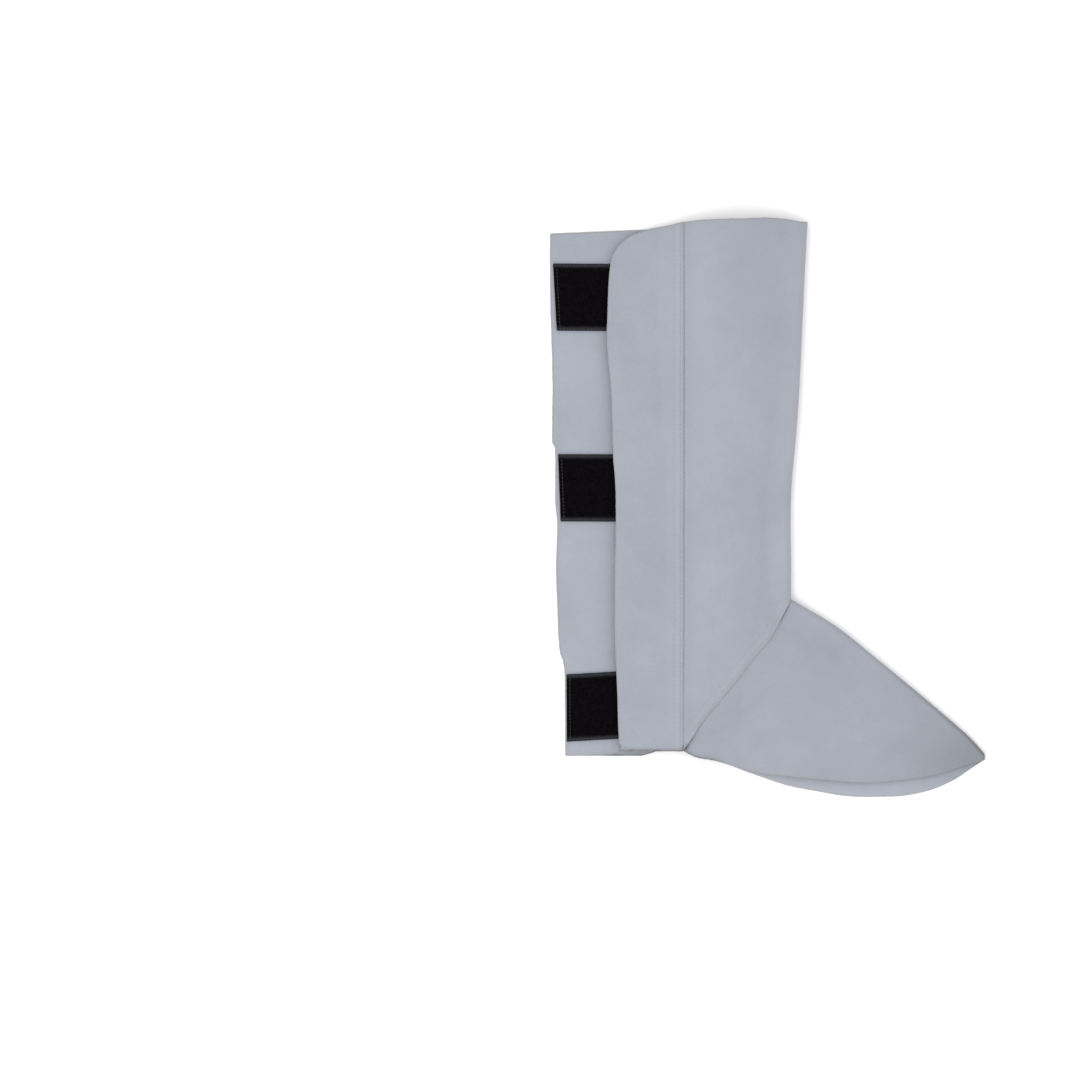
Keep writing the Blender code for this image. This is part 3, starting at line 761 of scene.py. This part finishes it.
def add_fibres(name, top, bottom, away, free, seed, material):
    """Short fibres that stand out of a cut edge, each three-sided and drawn to a tip."""
    draw = np.random.default_rng(seed + FIBRE_SEED)
    span = np.linalg.norm(np.roll(top, -1, axis=0) - top, axis=1)
    number = np.where(free & np.roll(free, -1), span / FIBRE_SPACING, 0.0)
    number = np.floor(number + draw.uniform(0, 1, len(number))).astype(int)
    first = np.repeat(np.arange(len(top)), number)
    second = (first + 1) % len(top)
    total = len(first)
    along, depth = draw.uniform(0, 1, (2, total, 1))
    base = (top[first] * (1 - depth) + bottom[first] * depth) * (1 - along)
    base += (top[second] * (1 - depth) + bottom[second] * depth) * along
    run = unit(away[first] + draw.normal(0, FIBRE_SPREAD, (total, 3)) * FIBRE_FLATTEN)
    bend = draw.normal(0, FIBRE_SPREAD, (total, 3)) * FIBRE_FLATTEN
    shortest, longest = FIBRE_LENGTH
    length = shortest + (longest - shortest) * draw.uniform(0, 1, (total, 1)) ** FIBRE_LONG_POWER
    half = base + run * length / 2
    tip = base + unit(run + bend) * length
    tip[:, 2] = np.maximum(tip[:, 2], FIBRE_RADIUS)
    half[:, 2] = np.maximum(half[:, 2], FIBRE_RADIUS)
    side = unit(np.cross(run, (0.0, 0.0, 1.0)) + NEVER_ZERO)
    rise = np.cross(side, run)
    corners = [side * math.cos(turn) + rise * math.sin(turn) for turn in FIBRE_TURNS]
    points = [base + FIBRE_RADIUS * corner for corner in corners]
    points += [half + FIBRE_RADIUS * FIBRE_TAPER * corner for corner in corners]
    sides, points_each = len(FIBRE_TURNS), len(points) + 1
    points = np.stack([*points, tip], axis=1).reshape(-1, 3)
    start = np.arange(total)[:, None] * points_each
    faces = []
    for k in range(sides):
        n = (k + 1) % sides
        faces += (start + np.array([k, n, sides + n, sides + k])).tolist()
        faces += (start + np.array([sides + k, sides + n, 2 * sides])).tolist()
    mesh_object(name, points, faces, material)


def upper_sheet(plan, layers_up, extra=0.0, skive=0.0):
    x, y = plan[..., 0], plan[..., 1]
    factor = slope_factor(x, y)
    outer = upper_level(x, y) + relief(x, y) + layers_up * LAYER * factor + extra
    return np.dstack([x, y, outer - skive]), np.dstack([x, y, outer - LEATHER * factor])


def lower_sheet(plan, lift=0.0):
    x, y = plan[..., 0], plan[..., 1]
    outer = np.zeros_like(x) + lift
    return np.dstack([x, y, outer]), np.dstack([x, y, outer + LEATHER])


def turn_edge(outer, inner, edge, way, station, side):
    """Adds the quarter turn from the last column of a sheet to the plane of the front seam."""
    level = (seam_level(station) + side * GAP / 2)[:, None]
    height = outer[:, -1:, 2] - level
    turn = np.linalg.norm(way, axis=-1)[:, None]
    angle = np.linspace(0.0, math.pi / 2, TURN_STEPS + 1)[None, 1:]
    turned = []
    for wall, sheet in ((0.0, outer), (LEATHER, inner)):
        share = 1.0 - (turn - wall) / turn * np.sin(angle)
        points = edge[:, None] + way[:, None] * share[..., None]
        rise = (height - side * wall) * np.cos(angle)
        turned.append(np.concatenate([sheet, np.dstack([points, level + rise])], axis=1))
    return turned


def shaft_edge(knee_run):
    shares = np.linspace(0.0, 1.0, ROWS + 1)
    edge = at(SHIN_LINE, shares)
    seam_run = at(SEAM_LINE, ANKLE_RUN_SHARE) - ANKLE
    start, way = inner_edge(edge, seam_run, knee_run, SHAFT_TURN)
    return edge, start, way, 1.0 - shares


def seam_upwards(end):
    """The slanted seam from its foot up to where the panel starts to turn."""
    line = SEAM_LINE[::-1]
    line = line[np.linalg.norm(line - ANKLE, axis=1) > np.linalg.norm(end - ANKLE) + GAP]
    return np.vstack([line, end])


def flap_top_points(rows):
    return [(-FLAP_WIDTH * row["width"], SHAFT_HEIGHT - KNEE_CORNER_DROP * row["drop"]) for row in rows]


def lap_press(x):
    """The seam presses the flap down on the front panel."""
    return -(GAP - LAP_TOUCH) * ease((x + 2 * BACK_LAP) / BACK_LAP)


def build_closure_flap():
    knee = flap_top_points(FLAP_TOP)
    corner = flap_top_points(FLAP_CORNER)
    left = back_line(FLAP_BACK, FLAP_WIDTH, [*corner[::-1], knee[-1]])
    right = np.array([LAP_FOOT, knee[0]])
    bottom = np.array([left[0], LAP_FOOT])
    plan = patch(left, right, bottom, smooth_line(knee[::-1]), FLAP_COLUMNS, ROWS)
    skive = LAP_SKIVE * (1 - ease(-plan[..., 0] / LAP_SKIVE_WIDTH))
    outer, inner = upper_sheet(plan, 1, lap_press(plan[..., 0]), skive)
    add_leather("flap", "closure_flap", outer, inner, True)


def front_extra(x, y, knee_y):
    """Low forms of the front panel: the ridge of the slanted seam, the knee band and the groove."""
    to_seam, share = nearest(x, y, SEAM_LINE)
    clear = ease(x / LAP_TAPER)
    ridge = RIDGE_HEIGHT * seam_taper(share) * bell(to_seam, RIDGE_WIDTH, RIDGE_INSET)
    band = BAND_DEPTH * bell(knee_y - y, BAND_WIDTH, BAND_INSET)
    to_shin, up = nearest(x, y, SHIN_LINE)
    knee_share = WELT_AT_ANKLE + (1 - WELT_AT_ANKLE) * np.exp(-((1 - up) / WELT_FADE))
    welt = WELT_DEPTH * knee_share * bell(to_shin, WELT_WIDTH, WELT_INSET)
    return clear * (ridge - band - welt)


def build_front_panel():
    edge, start, way, station = shaft_edge(np.array([-1.0, 0.0]))
    hidden_foot = LAP_FOOT - (BACK_LAP, 0.0)
    widths, drops = column(FLAP_TOP, "width"), column(FLAP_TOP, "drop")
    drops = np.interp((BACK_LAP / FLAP_WIDTH, 0.0), widths, drops)
    hidden_top, lap_top = SHAFT_HEIGHT - KNEE_CORNER_DROP * drops
    left = np.array([hidden_foot, (-BACK_LAP, hidden_top - GAP)])
    bottom = np.vstack([hidden_foot, seam_upwards(start[0])])
    top = [left[-1], (0.0, lap_top)]
    for row in FRONT_TOP:
        top.append((FRONT_WIDTH * row["width"], SHAFT_HEIGHT - KNEE_CORNER_DROP * row["drop"]))
    top = np.array([*top, start[-1]])
    plan = patch(left, start, bottom, top, FRONT_COLUMNS, ROWS)
    plan[:, -1] = start
    extra = front_extra(plan[..., 0], plan[..., 1], plan[-1:, :, 1])
    to_seam, share = nearest(plan[..., 0], plan[..., 1], SEAM_LINE)
    skive = SEAM_SKIVE * seam_taper(share) * (1 - ease(to_seam / LAP_SKIVE_WIDTH))
    outer, inner = upper_sheet(plan, 0, extra, skive)
    outer, inner = turn_edge(outer, inner, edge, way, station, 1)
    add_leather("front", "front_panel", outer, inner, True)


def build_inner_panel():
    knee_back = (-INNER_WIDTH, SHAFT_HEIGHT - INNER_KNEE_DROP)
    edge, start, way, station = shaft_edge(np.array(knee_back) - SHIN_LINE[-1])
    left = back_line(INNER_BACK, INNER_WIDTH, [knee_back])
    left = np.vstack([(left[0][0], -INNER_HEM_DROP), left])
    step = [(-INNER_HEM_STEP, -INNER_HEM_DROP), (-INNER_HEM_STEP + INNER_HEM_RISE, 0.0)]
    bottom = np.vstack([left[0], step, seam_upwards(start[0])])
    top = np.array([knee_back, start[-1]])
    plan = patch(left, start, bottom, top, INNER_COLUMNS, ROWS)
    plan[:, -1] = start
    outer, inner = lower_sheet(plan)
    outer, inner = turn_edge(outer, inner, edge, way, station, -1)
    add_leather("inner", "inner_panel", outer, inner, False)


def spat_lap():
    """The spat's upper edge: it laps the shaft, but butts against it at both ends of the seam."""
    shares = np.linspace(0.0, 1.0, LAP_STEPS)
    line = at(SEAM_LINE, shares)
    run = unit(np.gradient(line, axis=0))
    towards_shaft = np.stack([run[:, 1], -run[:, 0]], axis=-1)
    lap = (SPAT_LAP + LAP_TOUCH) * seam_taper(shares) - LAP_TOUCH
    return line + towards_shaft * lap[:, None]


def spat_plan(side, depth):
    lap = spat_lap()
    sole = sole_line(side, depth, lap[-1])
    shares = np.linspace(0.0, 1.0, SPAT_ROWS + 1)
    instep = at(np.vstack([lap[0], INSTEP_LINE[2:]]), shares)
    toe_run = sole[-1] - instep[-1]
    length = np.linalg.norm(instep - at(sole, shares), axis=1)
    turn = np.minimum(SPAT_TURN, length / 2)
    start, way = inner_edge(instep, lap[LAP_FIRST_RUN] - lap[0], toe_run, turn)
    lap = lap[np.linalg.norm(lap - lap[0], axis=1) > np.linalg.norm(start[0] - lap[0]) + GAP]
    bottom = np.vstack([lap[::-1], start[0]])
    plan = patch(sole, start, bottom, np.array([sole[-1], start[-1]]), SPAT_COLUMNS, SPAT_ROWS)
    plan[:, -1] = start
    return plan, instep, way, 1.0 + shares


def build_spat_outer():
    plan, edge, way, station = spat_plan("outer", OUTER_SOLE_DEPTH)
    x, y = plan[..., 0], plan[..., 1]
    to_fold, _ = nearest(x, y, np.array(SPAT_FOLD))
    fold = SPAT_FOLD_DEPTH * bell(to_fold, SPAT_FOLD_WIDTH)
    outer, inner = upper_sheet(plan, -1, GAP - LAP_TOUCH - fold)
    to_sole = np.hypot(x - plan[:, :1, 0], y - plan[:, :1, 1])
    run = ease(np.linspace(0.0, 1.0, len(plan))[:, None] / SOLE_PRESS_RUN)
    press = SOLE_PRESS * run * (inner[:, :1, 2] - LEATHER) * (1 - ease(to_sole / SOLE_PRESS_REACH))
    outer[..., 2] -= press
    inner[..., 2] -= press
    outer, inner = turn_edge(outer, inner, edge, way, station, 1)
    add_leather("spat_outer", "spat_outer", outer, inner, True)


def build_spat_inner():
    plan, edge, way, station = spat_plan("inner", INNER_SOLE_DEPTH)
    to_seam, share = nearest(plan[..., 0], plan[..., 1], SEAM_LINE)
    run = unit(LAP_FOOT - ANKLE)
    past_seam = (plan[..., 0] - LAP_FOOT[0]) * -run[1] + (plan[..., 1] - LAP_FOOT[1]) * run[0]
    settle = np.where(past_seam > 0.0, ease((to_seam - SPAT_LAP) / LAP_SETTLE), 0.0)
    lift = LAYER * foot_rise(share) * (1.0 - settle)
    outer, inner = lower_sheet(plan, lift)
    outer, inner = turn_edge(outer, inner, edge, way, station, -1)
    add_leather("spat_inner", "spat_inner", outer, inner, False)


def stitch_row(name, line, level, slot_name, material, pitch, length, radius):
    """A row of stitches along a plan line, each a short thread that dives into the piece."""
    total = np.linalg.norm(np.diff(line, axis=0), axis=1).sum()
    middles = (np.arange(int(total / pitch)) + 0.5) * pitch
    across = np.linspace(-1.0, 1.0, STITCH_RINGS)
    centre = at(line, np.clip((middles[:, None] + across * length / 2) / total, 0.0, 1.0))
    bow = 1.0 - across**STITCH_BOW
    height = level(centre[..., 0], centre[..., 1]) - STITCH_SINK
    height = height + bow * (STITCH_SINK + radius * STITCH_RISE)
    run = unit(centre[:, -1] - centre[:, 0])
    side = np.stack([-run[:, 1], run[:, 0]], axis=-1)[:, None, None]
    turn = np.linspace(0.0, 2 * math.pi, STITCH_SIDES, endpoint=False)
    thick = radius * (STITCH_TIP + (1 - STITCH_TIP) * bow)[:, None]
    points = np.empty((len(middles), STITCH_RINGS, STITCH_SIDES, 3))
    points[..., :2] = centre[:, :, None] + side * (np.cos(turn) * thick)[None, ..., None]
    points[..., 2] = height[..., None] + np.sin(turn) * thick
    faces = tube_faces(len(middles), STITCH_RINGS, STITCH_SIDES, True)
    return mesh_object(name, points.reshape(-1, 3), faces, material)


def tube_faces(count, rings, sides, capped):
    """Faces of so many tubes whose points are listed tube by tube and ring by ring."""
    tube, ring, side = np.meshgrid(np.arange(count), np.arange(rings - 1), np.arange(sides), indexing="ij")
    base, n = (tube * rings + ring) * sides, (side + 1) % sides
    faces = np.stack([base + side, base + n, base + sides + n, base + sides + side], axis=-1)
    faces = faces.reshape(-1, 4).tolist()
    if capped:
        first = np.arange(count)[:, None] * rings * sides
        faces += (first + np.arange(sides)[::-1]).tolist()
        faces += (first + (rings - 1) * sides + np.arange(sides)).tolist()
    return faces


def flap_level(x, y):
    return upper_level(x, y) + relief(x, y) + LAYER * slope_factor(x, y) + lap_press(x)


def front_level(x, y):
    return upper_level(x, y) + relief(x, y) + front_extra(x, y, SHAFT_HEIGHT)


def build_seam_stitches(thread):
    knee = SHAFT_HEIGHT - KNEE_CORNER_DROP * FLAP_TOP[0]["drop"]
    run = unit(np.gradient(SEAM_LINE, axis=0))
    towards_shaft = np.stack([run[:, 1], -run[:, 0]], axis=-1)
    for k in (0, 1):
        inset = STITCH_INSET + k * STITCH_ROW_GAP
        row = np.array([(-inset, STITCH_INSET), (-inset, knee - STITCH_INSET)])
        stitch_row(f"lap_stitches_{k}", row, flap_level, "leather", thread, **SEAM_STITCH)
        line = SEAM_LINE + towards_shaft * inset
        inside = (line[:, 0] > STITCH_INSET) & (line[:, 0] < ANKLE[0] - SHAFT_TURN)
        stitch_row(f"ankle_stitches_{k}", line[inside], front_level, "leather", thread, **SEAM_STITCH)


def tape_grid(start, tilt, lean, length, width, columns, rows):
    """Plan of a tape whose back end is centred on start."""
    tilt, lean = math.radians(tilt), math.radians(lean)
    along = np.array([math.cos(tilt), math.sin(tilt)])
    aside = np.array([-math.sin(lean), math.cos(lean)])
    a = np.linspace(0.0, length, columns)[None, :, None]
    b = np.linspace(-width / 2, width / 2, rows)[:, None, None]
    return start + along * a + aside * b, along, aside


def build_pile(name, start, along, aside, bottom, seed, material):
    """Small loops of thread that stand all over the tape."""
    draw = np.random.default_rng(seed)
    a = draw.uniform(PILE_LOOP_WIDTH, LOOP_LENGTH - PILE_LOOP_WIDTH, (PILE_LOOPS, 1))
    half = TAPE_WIDTH / 2 - SELVAGE - PILE_LOOP_WIDTH / 2
    centre = start + along * a + aside * draw.uniform(-half, half, (PILE_LOOPS, 1))
    heading = draw.uniform(0.0, math.pi, PILE_LOOPS)
    size = draw.uniform(*PILE_LOOP_SIZES, (PILE_LOOPS, 1))
    run = np.stack([np.cos(heading), np.sin(heading)], axis=-1)[:, None]
    arc = np.linspace(0.0, math.pi, PILE_STEPS)
    path = np.empty((PILE_LOOPS, PILE_STEPS, 3))
    path[..., :2] = centre[:, None] + run * (np.cos(arc) * PILE_LOOP_WIDTH / 2 * size)[..., None]
    path[..., :2] += draw.normal(0.0, PILE_LEAN, (PILE_LOOPS, 1, 2)) * np.sin(arc)[None, :, None]
    path[..., 2] = bottom + np.sin(arc) * PILE_LOOP_HEIGHT * size
    turn = np.linspace(0.0, 2 * math.pi, PILE_SIDES, endpoint=False)[:, None]
    side = np.concatenate([-run[..., 1:], run[..., :1], np.zeros((PILE_LOOPS, 1, 1))], axis=-1)[:, None]
    ring = side * np.cos(turn) + np.array([0.0, 0.0, 1.0]) * np.sin(turn)
    points = path[:, :, None] + PILE_THREAD * ring
    faces = tube_faces(PILE_LOOPS, PILE_STEPS, PILE_SIDES, False)
    mesh_object(name, points.reshape(-1, 3), faces, material)


def flat_sheet(name, plan, low, high, seed, material):
    """A tape's sheet over its plan, from one level to another."""
    top = np.dstack([plan, np.broadcast_to(high, plan.shape[:2])])
    under = np.dstack([plan, np.full(plan.shape[:2], low)])
    return sheet_object(name, top, under, True, seed, material, TAPE_RIM, False)[0]


def build_loop_tape(tape, seed, start, pile, selvage, thread):
    plan, along, aside = tape_grid(start, tape["tilt"], tape["lean"], LOOP_LENGTH, TAPE_WIDTH,
                                   TAPE_COLUMNS, TAPE_ROWS)
    low = LEATHER + GAP
    high = low + LOOP_THICK - PILE_RISE
    from_side = TAPE_WIDTH / 2 - np.abs(np.linspace(-TAPE_WIDTH / 2, TAPE_WIDTH / 2, TAPE_ROWS))
    rise = -PILE_RISE * (1 - ease((from_side - SELVAGE) / SELVAGE_SLOPE))[:, None]
    rough = np.random.default_rng(seed).normal(0.0, GROUND_ROUGH, plan.shape[:2])
    name = tape["name"]
    ground = flat_sheet("tape_ground_" + name, plan, low, high + rise + rough, seed, selvage)
    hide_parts("loop_tape_" + name)
    build_pile("tape_pile_" + name, start, along, aside, high - PILE_RISE / 2, seed + 1, pile)
    strip = np.zeros((2, TAPE_ROWS, TAPE_COLUMNS)) - rise / PILE_RISE
    strip = np.concatenate([strip.ravel(), np.ones(len(ground.data.vertices) - strip.size)])
    set_attribute(ground, "selvage", strip)
    for side in (-1, 1):
        offset = start + aside * side * (TAPE_WIDTH / 2 - SELVAGE / 2)
        row = np.array([offset + along * SELVAGE / 2, offset + along * (LOOP_LENGTH - SELVAGE / 2)])
        stitch_row(f"tape_stitches_{name}_{(side + 1) // 2}", row,
                   lambda x, y: np.full_like(x, high - PILE_RISE), "loop_tape", thread, **TAPE_STITCH)
    ends = [start + along * SELVAGE + aside * side * (TAPE_WIDTH / 2 - SELVAGE) for side in (-1, 1)]
    stitch_row("tape_end_stitches_" + name, np.array(ends),
               lambda x, y: np.full_like(x, high + PILE_LOOP_HEIGHT / 2), "loop_tape", thread, **TAPE_STITCH)


def build_tapes(pile, selvage, hooks, thread):
    back = back_line(INNER_BACK, INNER_WIDTH, [(-INNER_WIDTH, SHAFT_HEIGHT)])
    for k, tape in enumerate(TAPES):
        middle = SHAFT_HEIGHT * tape["height"]
        near = np.abs(back[:, 1] - middle) < TAPE_WIDTH / 2
        start = np.array([back[near, 0].max() + TAPE_EDGE_INSET * tape["inset"], middle])
        build_loop_tape(tape, LOOP_SEED + SEED_STEP * k, start, pile, selvage, thread)
        hook_start = np.array([flap_back_x(middle) + HOOK_INSET, middle])
        plan, _, _ = tape_grid(hook_start, 0.0, 0.0, HOOK_LENGTH, HOOK_WIDTH, HOOK_STEPS, HOOK_STEPS)
        low = FLAP_BOTTOM - GAP - HOOK_THICK
        seed = HOOK_SEED + SEED_STEP * k
        hook = flat_sheet("tape_hooks_" + tape["name"], plan, low, low + HOOK_THICK, seed, hooks)
        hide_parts("hook_tape_" + tape["name"])


def new_material(name, roughness, specular):
    material = bpy.data.materials.new(name)
    material.use_nodes = True
    shader = material.node_tree.nodes["Principled BSDF"]
    shader.inputs["Roughness"].default_value = roughness
    shader.inputs["Specular IOR Level"].default_value = specular
    return material, material.node_tree.nodes, material.node_tree.links, shader


def add_noise(nodes, links, place, scale, detail, roughness=0.5):
    noise = nodes.new("ShaderNodeTexNoise")
    noise.inputs["Scale"].default_value = scale
    noise.inputs["Detail"].default_value = detail
    noise.inputs["Roughness"].default_value = roughness
    links.new(place, noise.inputs["Vector"])
    return noise.outputs["Fac"]


def add_ramp(nodes, links, value, low, high, start=0.3, end=0.7):
    ramp = nodes.new("ShaderNodeValToRGB")
    for element, position, color in zip(ramp.color_ramp.elements, (start, end), (low, high)):
        element.position = position
        element.color = (*color, 1.0)
    links.new(value, ramp.inputs["Fac"])
    return ramp.outputs["Color"]


def add_mix(nodes, links, kind, factor, first, second):
    mix = nodes.new("ShaderNodeMix")
    mix.data_type = "RGBA"
    mix.blend_type = kind
    # A colour mix keeps its own sockets after those of the float and vector mixes.
    sockets = mix.inputs[0], mix.inputs[6], mix.inputs[7]
    for socket, value in zip(sockets, (factor, first, second)):
        if isinstance(value, float):
            socket.default_value = value
        elif isinstance(value, tuple):
            socket.default_value = (*value, 1.0)
        else:
            links.new(value, socket)
    return mix.outputs[2]


def add_bump(nodes, links, height, strength, distance, normal=None):
    bump = nodes.new("ShaderNodeBump")
    bump.inputs["Strength"].default_value = strength
    bump.inputs["Distance"].default_value = distance
    links.new(height, bump.inputs["Height"])
    if normal is not None:
        links.new(normal, bump.inputs["Normal"])
    return bump.outputs["Normal"]


def mix_by_attribute(nodes, links, kind, name, first, second):
    attribute = nodes.new("ShaderNodeAttribute")
    attribute.attribute_name = name
    return add_mix(nodes, links, kind, attribute.outputs["Fac"], first, second)


def leather_material(piece):
    """Split leather: pale cool grey, faintly mottled, with a short nap and fibrous cut edges. Each piece has
    its own tone, and the spat's two halves carry painted light: the inner half is paler against the shade
    under the outer half, and the outer half is darker as painted shade."""
    name = "split_leather_" + piece
    material, nodes, links, shader = new_material(name, roughness=0.92, specular=0.2)
    dark = tuple(LEATHER_TONES_AND_PAINTED_LIGHT[piece] * part for part in LEATHER_DARK)
    light = tuple(LEATHER_TONES_AND_PAINTED_LIGHT[piece] * part for part in LEATHER_LIGHT)
    place = nodes.new("ShaderNodeTexCoord").outputs["Object"]
    broad = add_noise(nodes, links, place, scale=16.0, detail=3.0)
    blotch = add_noise(nodes, links, place, scale=75.0, detail=5.0, roughness=0.6)
    nap = add_noise(nodes, links, place, scale=900.0, detail=3.0, roughness=0.6)
    color = add_ramp(nodes, links, broad, dark, light, start=0.25, end=0.75)
    for noise, tint in ((blotch, BLOTCH_TINT), (nap, NAP_TINT)):
        tint = add_ramp(nodes, links, noise, tint, WHITE)
        color = add_mix(nodes, links, "MULTIPLY", 1.0, color, tint)
    color = mix_by_attribute(nodes, links, "MIX", "cut_edge", color, LEATHER_EDGE)
    # Painted shade at the hem and the toe
    color = mix_by_attribute(nodes, links, "MIX", "painted_shade", color, PAINTED_SHADE_COLOR)
    # Painted light and shade: darker towards the toe and the knee, and the bands beside the lapped seam
    color = mix_by_attribute(nodes, links, "MULTIPLY", "painted_light_and_shade", color, PAINTED_SHADE_TINT)
    links.new(color, shader.inputs["Base Color"])
    normal = add_bump(nodes, links, blotch, strength=0.25, distance=0.0006)
    normal = add_bump(nodes, links, nap, strength=0.5, distance=0.00025, normal=normal)
    links.new(normal, shader.inputs["Normal"])
    shader.inputs["Sheen Weight"].default_value = 0.2
    shader.inputs["Sheen Roughness"].default_value = 0.6
    return material


def thread_material(name, color):
    material, nodes, links, shader = new_material(name, roughness=0.7, specular=0.3)
    place = nodes.new("ShaderNodeTexCoord").outputs["Object"]
    twist = add_noise(nodes, links, place, scale=2500.0, detail=2.0)
    low = tuple(THREAD_SHADE * part for part in color)
    links.new(add_ramp(nodes, links, twist, low, color), shader.inputs["Base Color"])
    normal = add_bump(nodes, links, twist, strength=0.5, distance=0.0002)
    links.new(normal, shader.inputs["Normal"])
    return material


def tape_material(name, low, high, scale, roughness, specular, strip=None):
    """Woven tape. Strip is the pair of colours of its selvages, where it has them."""
    material, nodes, links, shader = new_material(name, roughness, specular)
    place = nodes.new("ShaderNodeTexCoord").outputs["Object"]
    weave = add_noise(nodes, links, place, scale, detail=2.0)
    color = add_ramp(nodes, links, weave, low, high)
    if strip:
        selvage = add_ramp(nodes, links, weave, *strip)
        color = mix_by_attribute(nodes, links, "MIX", "selvage", color, selvage)
    links.new(color, shader.inputs["Base Color"])
    normal = add_bump(nodes, links, weave, strength=0.6, distance=0.0004)
    links.new(normal, shader.inputs["Normal"])
    return material


def build_stage():
    half = FLOOR_SIZE / 2
    data = bpy.data.meshes.new("floor")
    square = [(-half, -half, 0), (half, -half, 0), (half, half, 0), (-half, half, 0)]
    data.from_pydata(square, [], [(0, 1, 2, 3)])
    floor = bpy.data.objects.new("floor", data)
    bpy.context.scene.collection.objects.link(floor)
    material, _, _, shader = new_material("floor_white", roughness=0.9, specular=0.0)
    shader.inputs["Base Color"].default_value = (*FLOOR_COLOR, 1.0)
    data.materials.append(material)
    world = bpy.data.worlds.new("studio")
    world.use_nodes = True
    background = world.node_tree.nodes["Background"].inputs
    background["Color"].default_value = (*WHITE, 1.0)
    background["Strength"].default_value = WORLD_STRENGTH
    bpy.context.scene.world = world
    light = bpy.data.lights.new("softbox", "AREA")
    light.size = KEY_SIZE
    light.energy = KEY_POWER
    key = bpy.data.objects.new("softbox", light)
    key.location = KEY_PLACE
    key.rotation_euler = Vector(KEY_PLACE).to_track_quat("Z", "Y").to_euler()
    bpy.context.scene.collection.objects.link(key)


def build_camera():
    """Straight down on the guard, at the photograph's scale and with its place in the frame."""
    camera = bpy.data.cameras.new("camera")
    camera.lens, camera.sensor_width, camera.clip_end = CAMERA_LENS, CAMERA_SENSOR, CAMERA_CLIP
    eye = bpy.data.objects.new("camera", camera)
    middle = (MODEL_BOX[0] + MODEL_BOX[1]) / 2
    aside = (PHOTO_SIZE / 2 - PHOTO_GUARD_MIDDLE[0]) * PHOTO_SCALE
    above = (PHOTO_GUARD_MIDDLE[1] - PHOTO_SIZE / 2) * PHOTO_SCALE
    distance = PHOTO_SIZE * PHOTO_SCALE * CAMERA_LENS / CAMERA_SENSOR
    eye.location = (middle.x + aside, middle.y + above, PHOTO_SCALE_HEIGHT + distance)
    bpy.context.scene.collection.objects.link(eye)
    bpy.context.scene.camera = eye


build_inner_panel()
build_spat_inner()
build_spat_outer()
build_front_panel()
build_closure_flap()
# Seam thread with painted light, paler than the leather
build_seam_stitches(thread_material("grey_thread", THREAD_COLOR_WITH_PAINTED_LIGHT))
build_tapes(
    tape_material("loop_pile", PILE_DARK, PILE_LIGHT, scale=1500.0, roughness=0.95, specular=0.0),
    tape_material("loop_ground", PILE_DARK, PILE_LIGHT, scale=2200.0, roughness=0.9, specular=0.0,
                  strip=(SELVAGE_DARK, SELVAGE_LIGHT)),
    tape_material("hook_ground", HOOK_DARK, HOOK_LIGHT, scale=2600.0, roughness=0.6, specular=0.3),
    thread_material("black_thread", TAPE_THREAD_COLOR),
)
build_stage()
build_camera()
bpy.context.scene.view_settings.view_transform = "Standard"


def corners(box):
    return [[float(value) for value in corner] for corner in box]
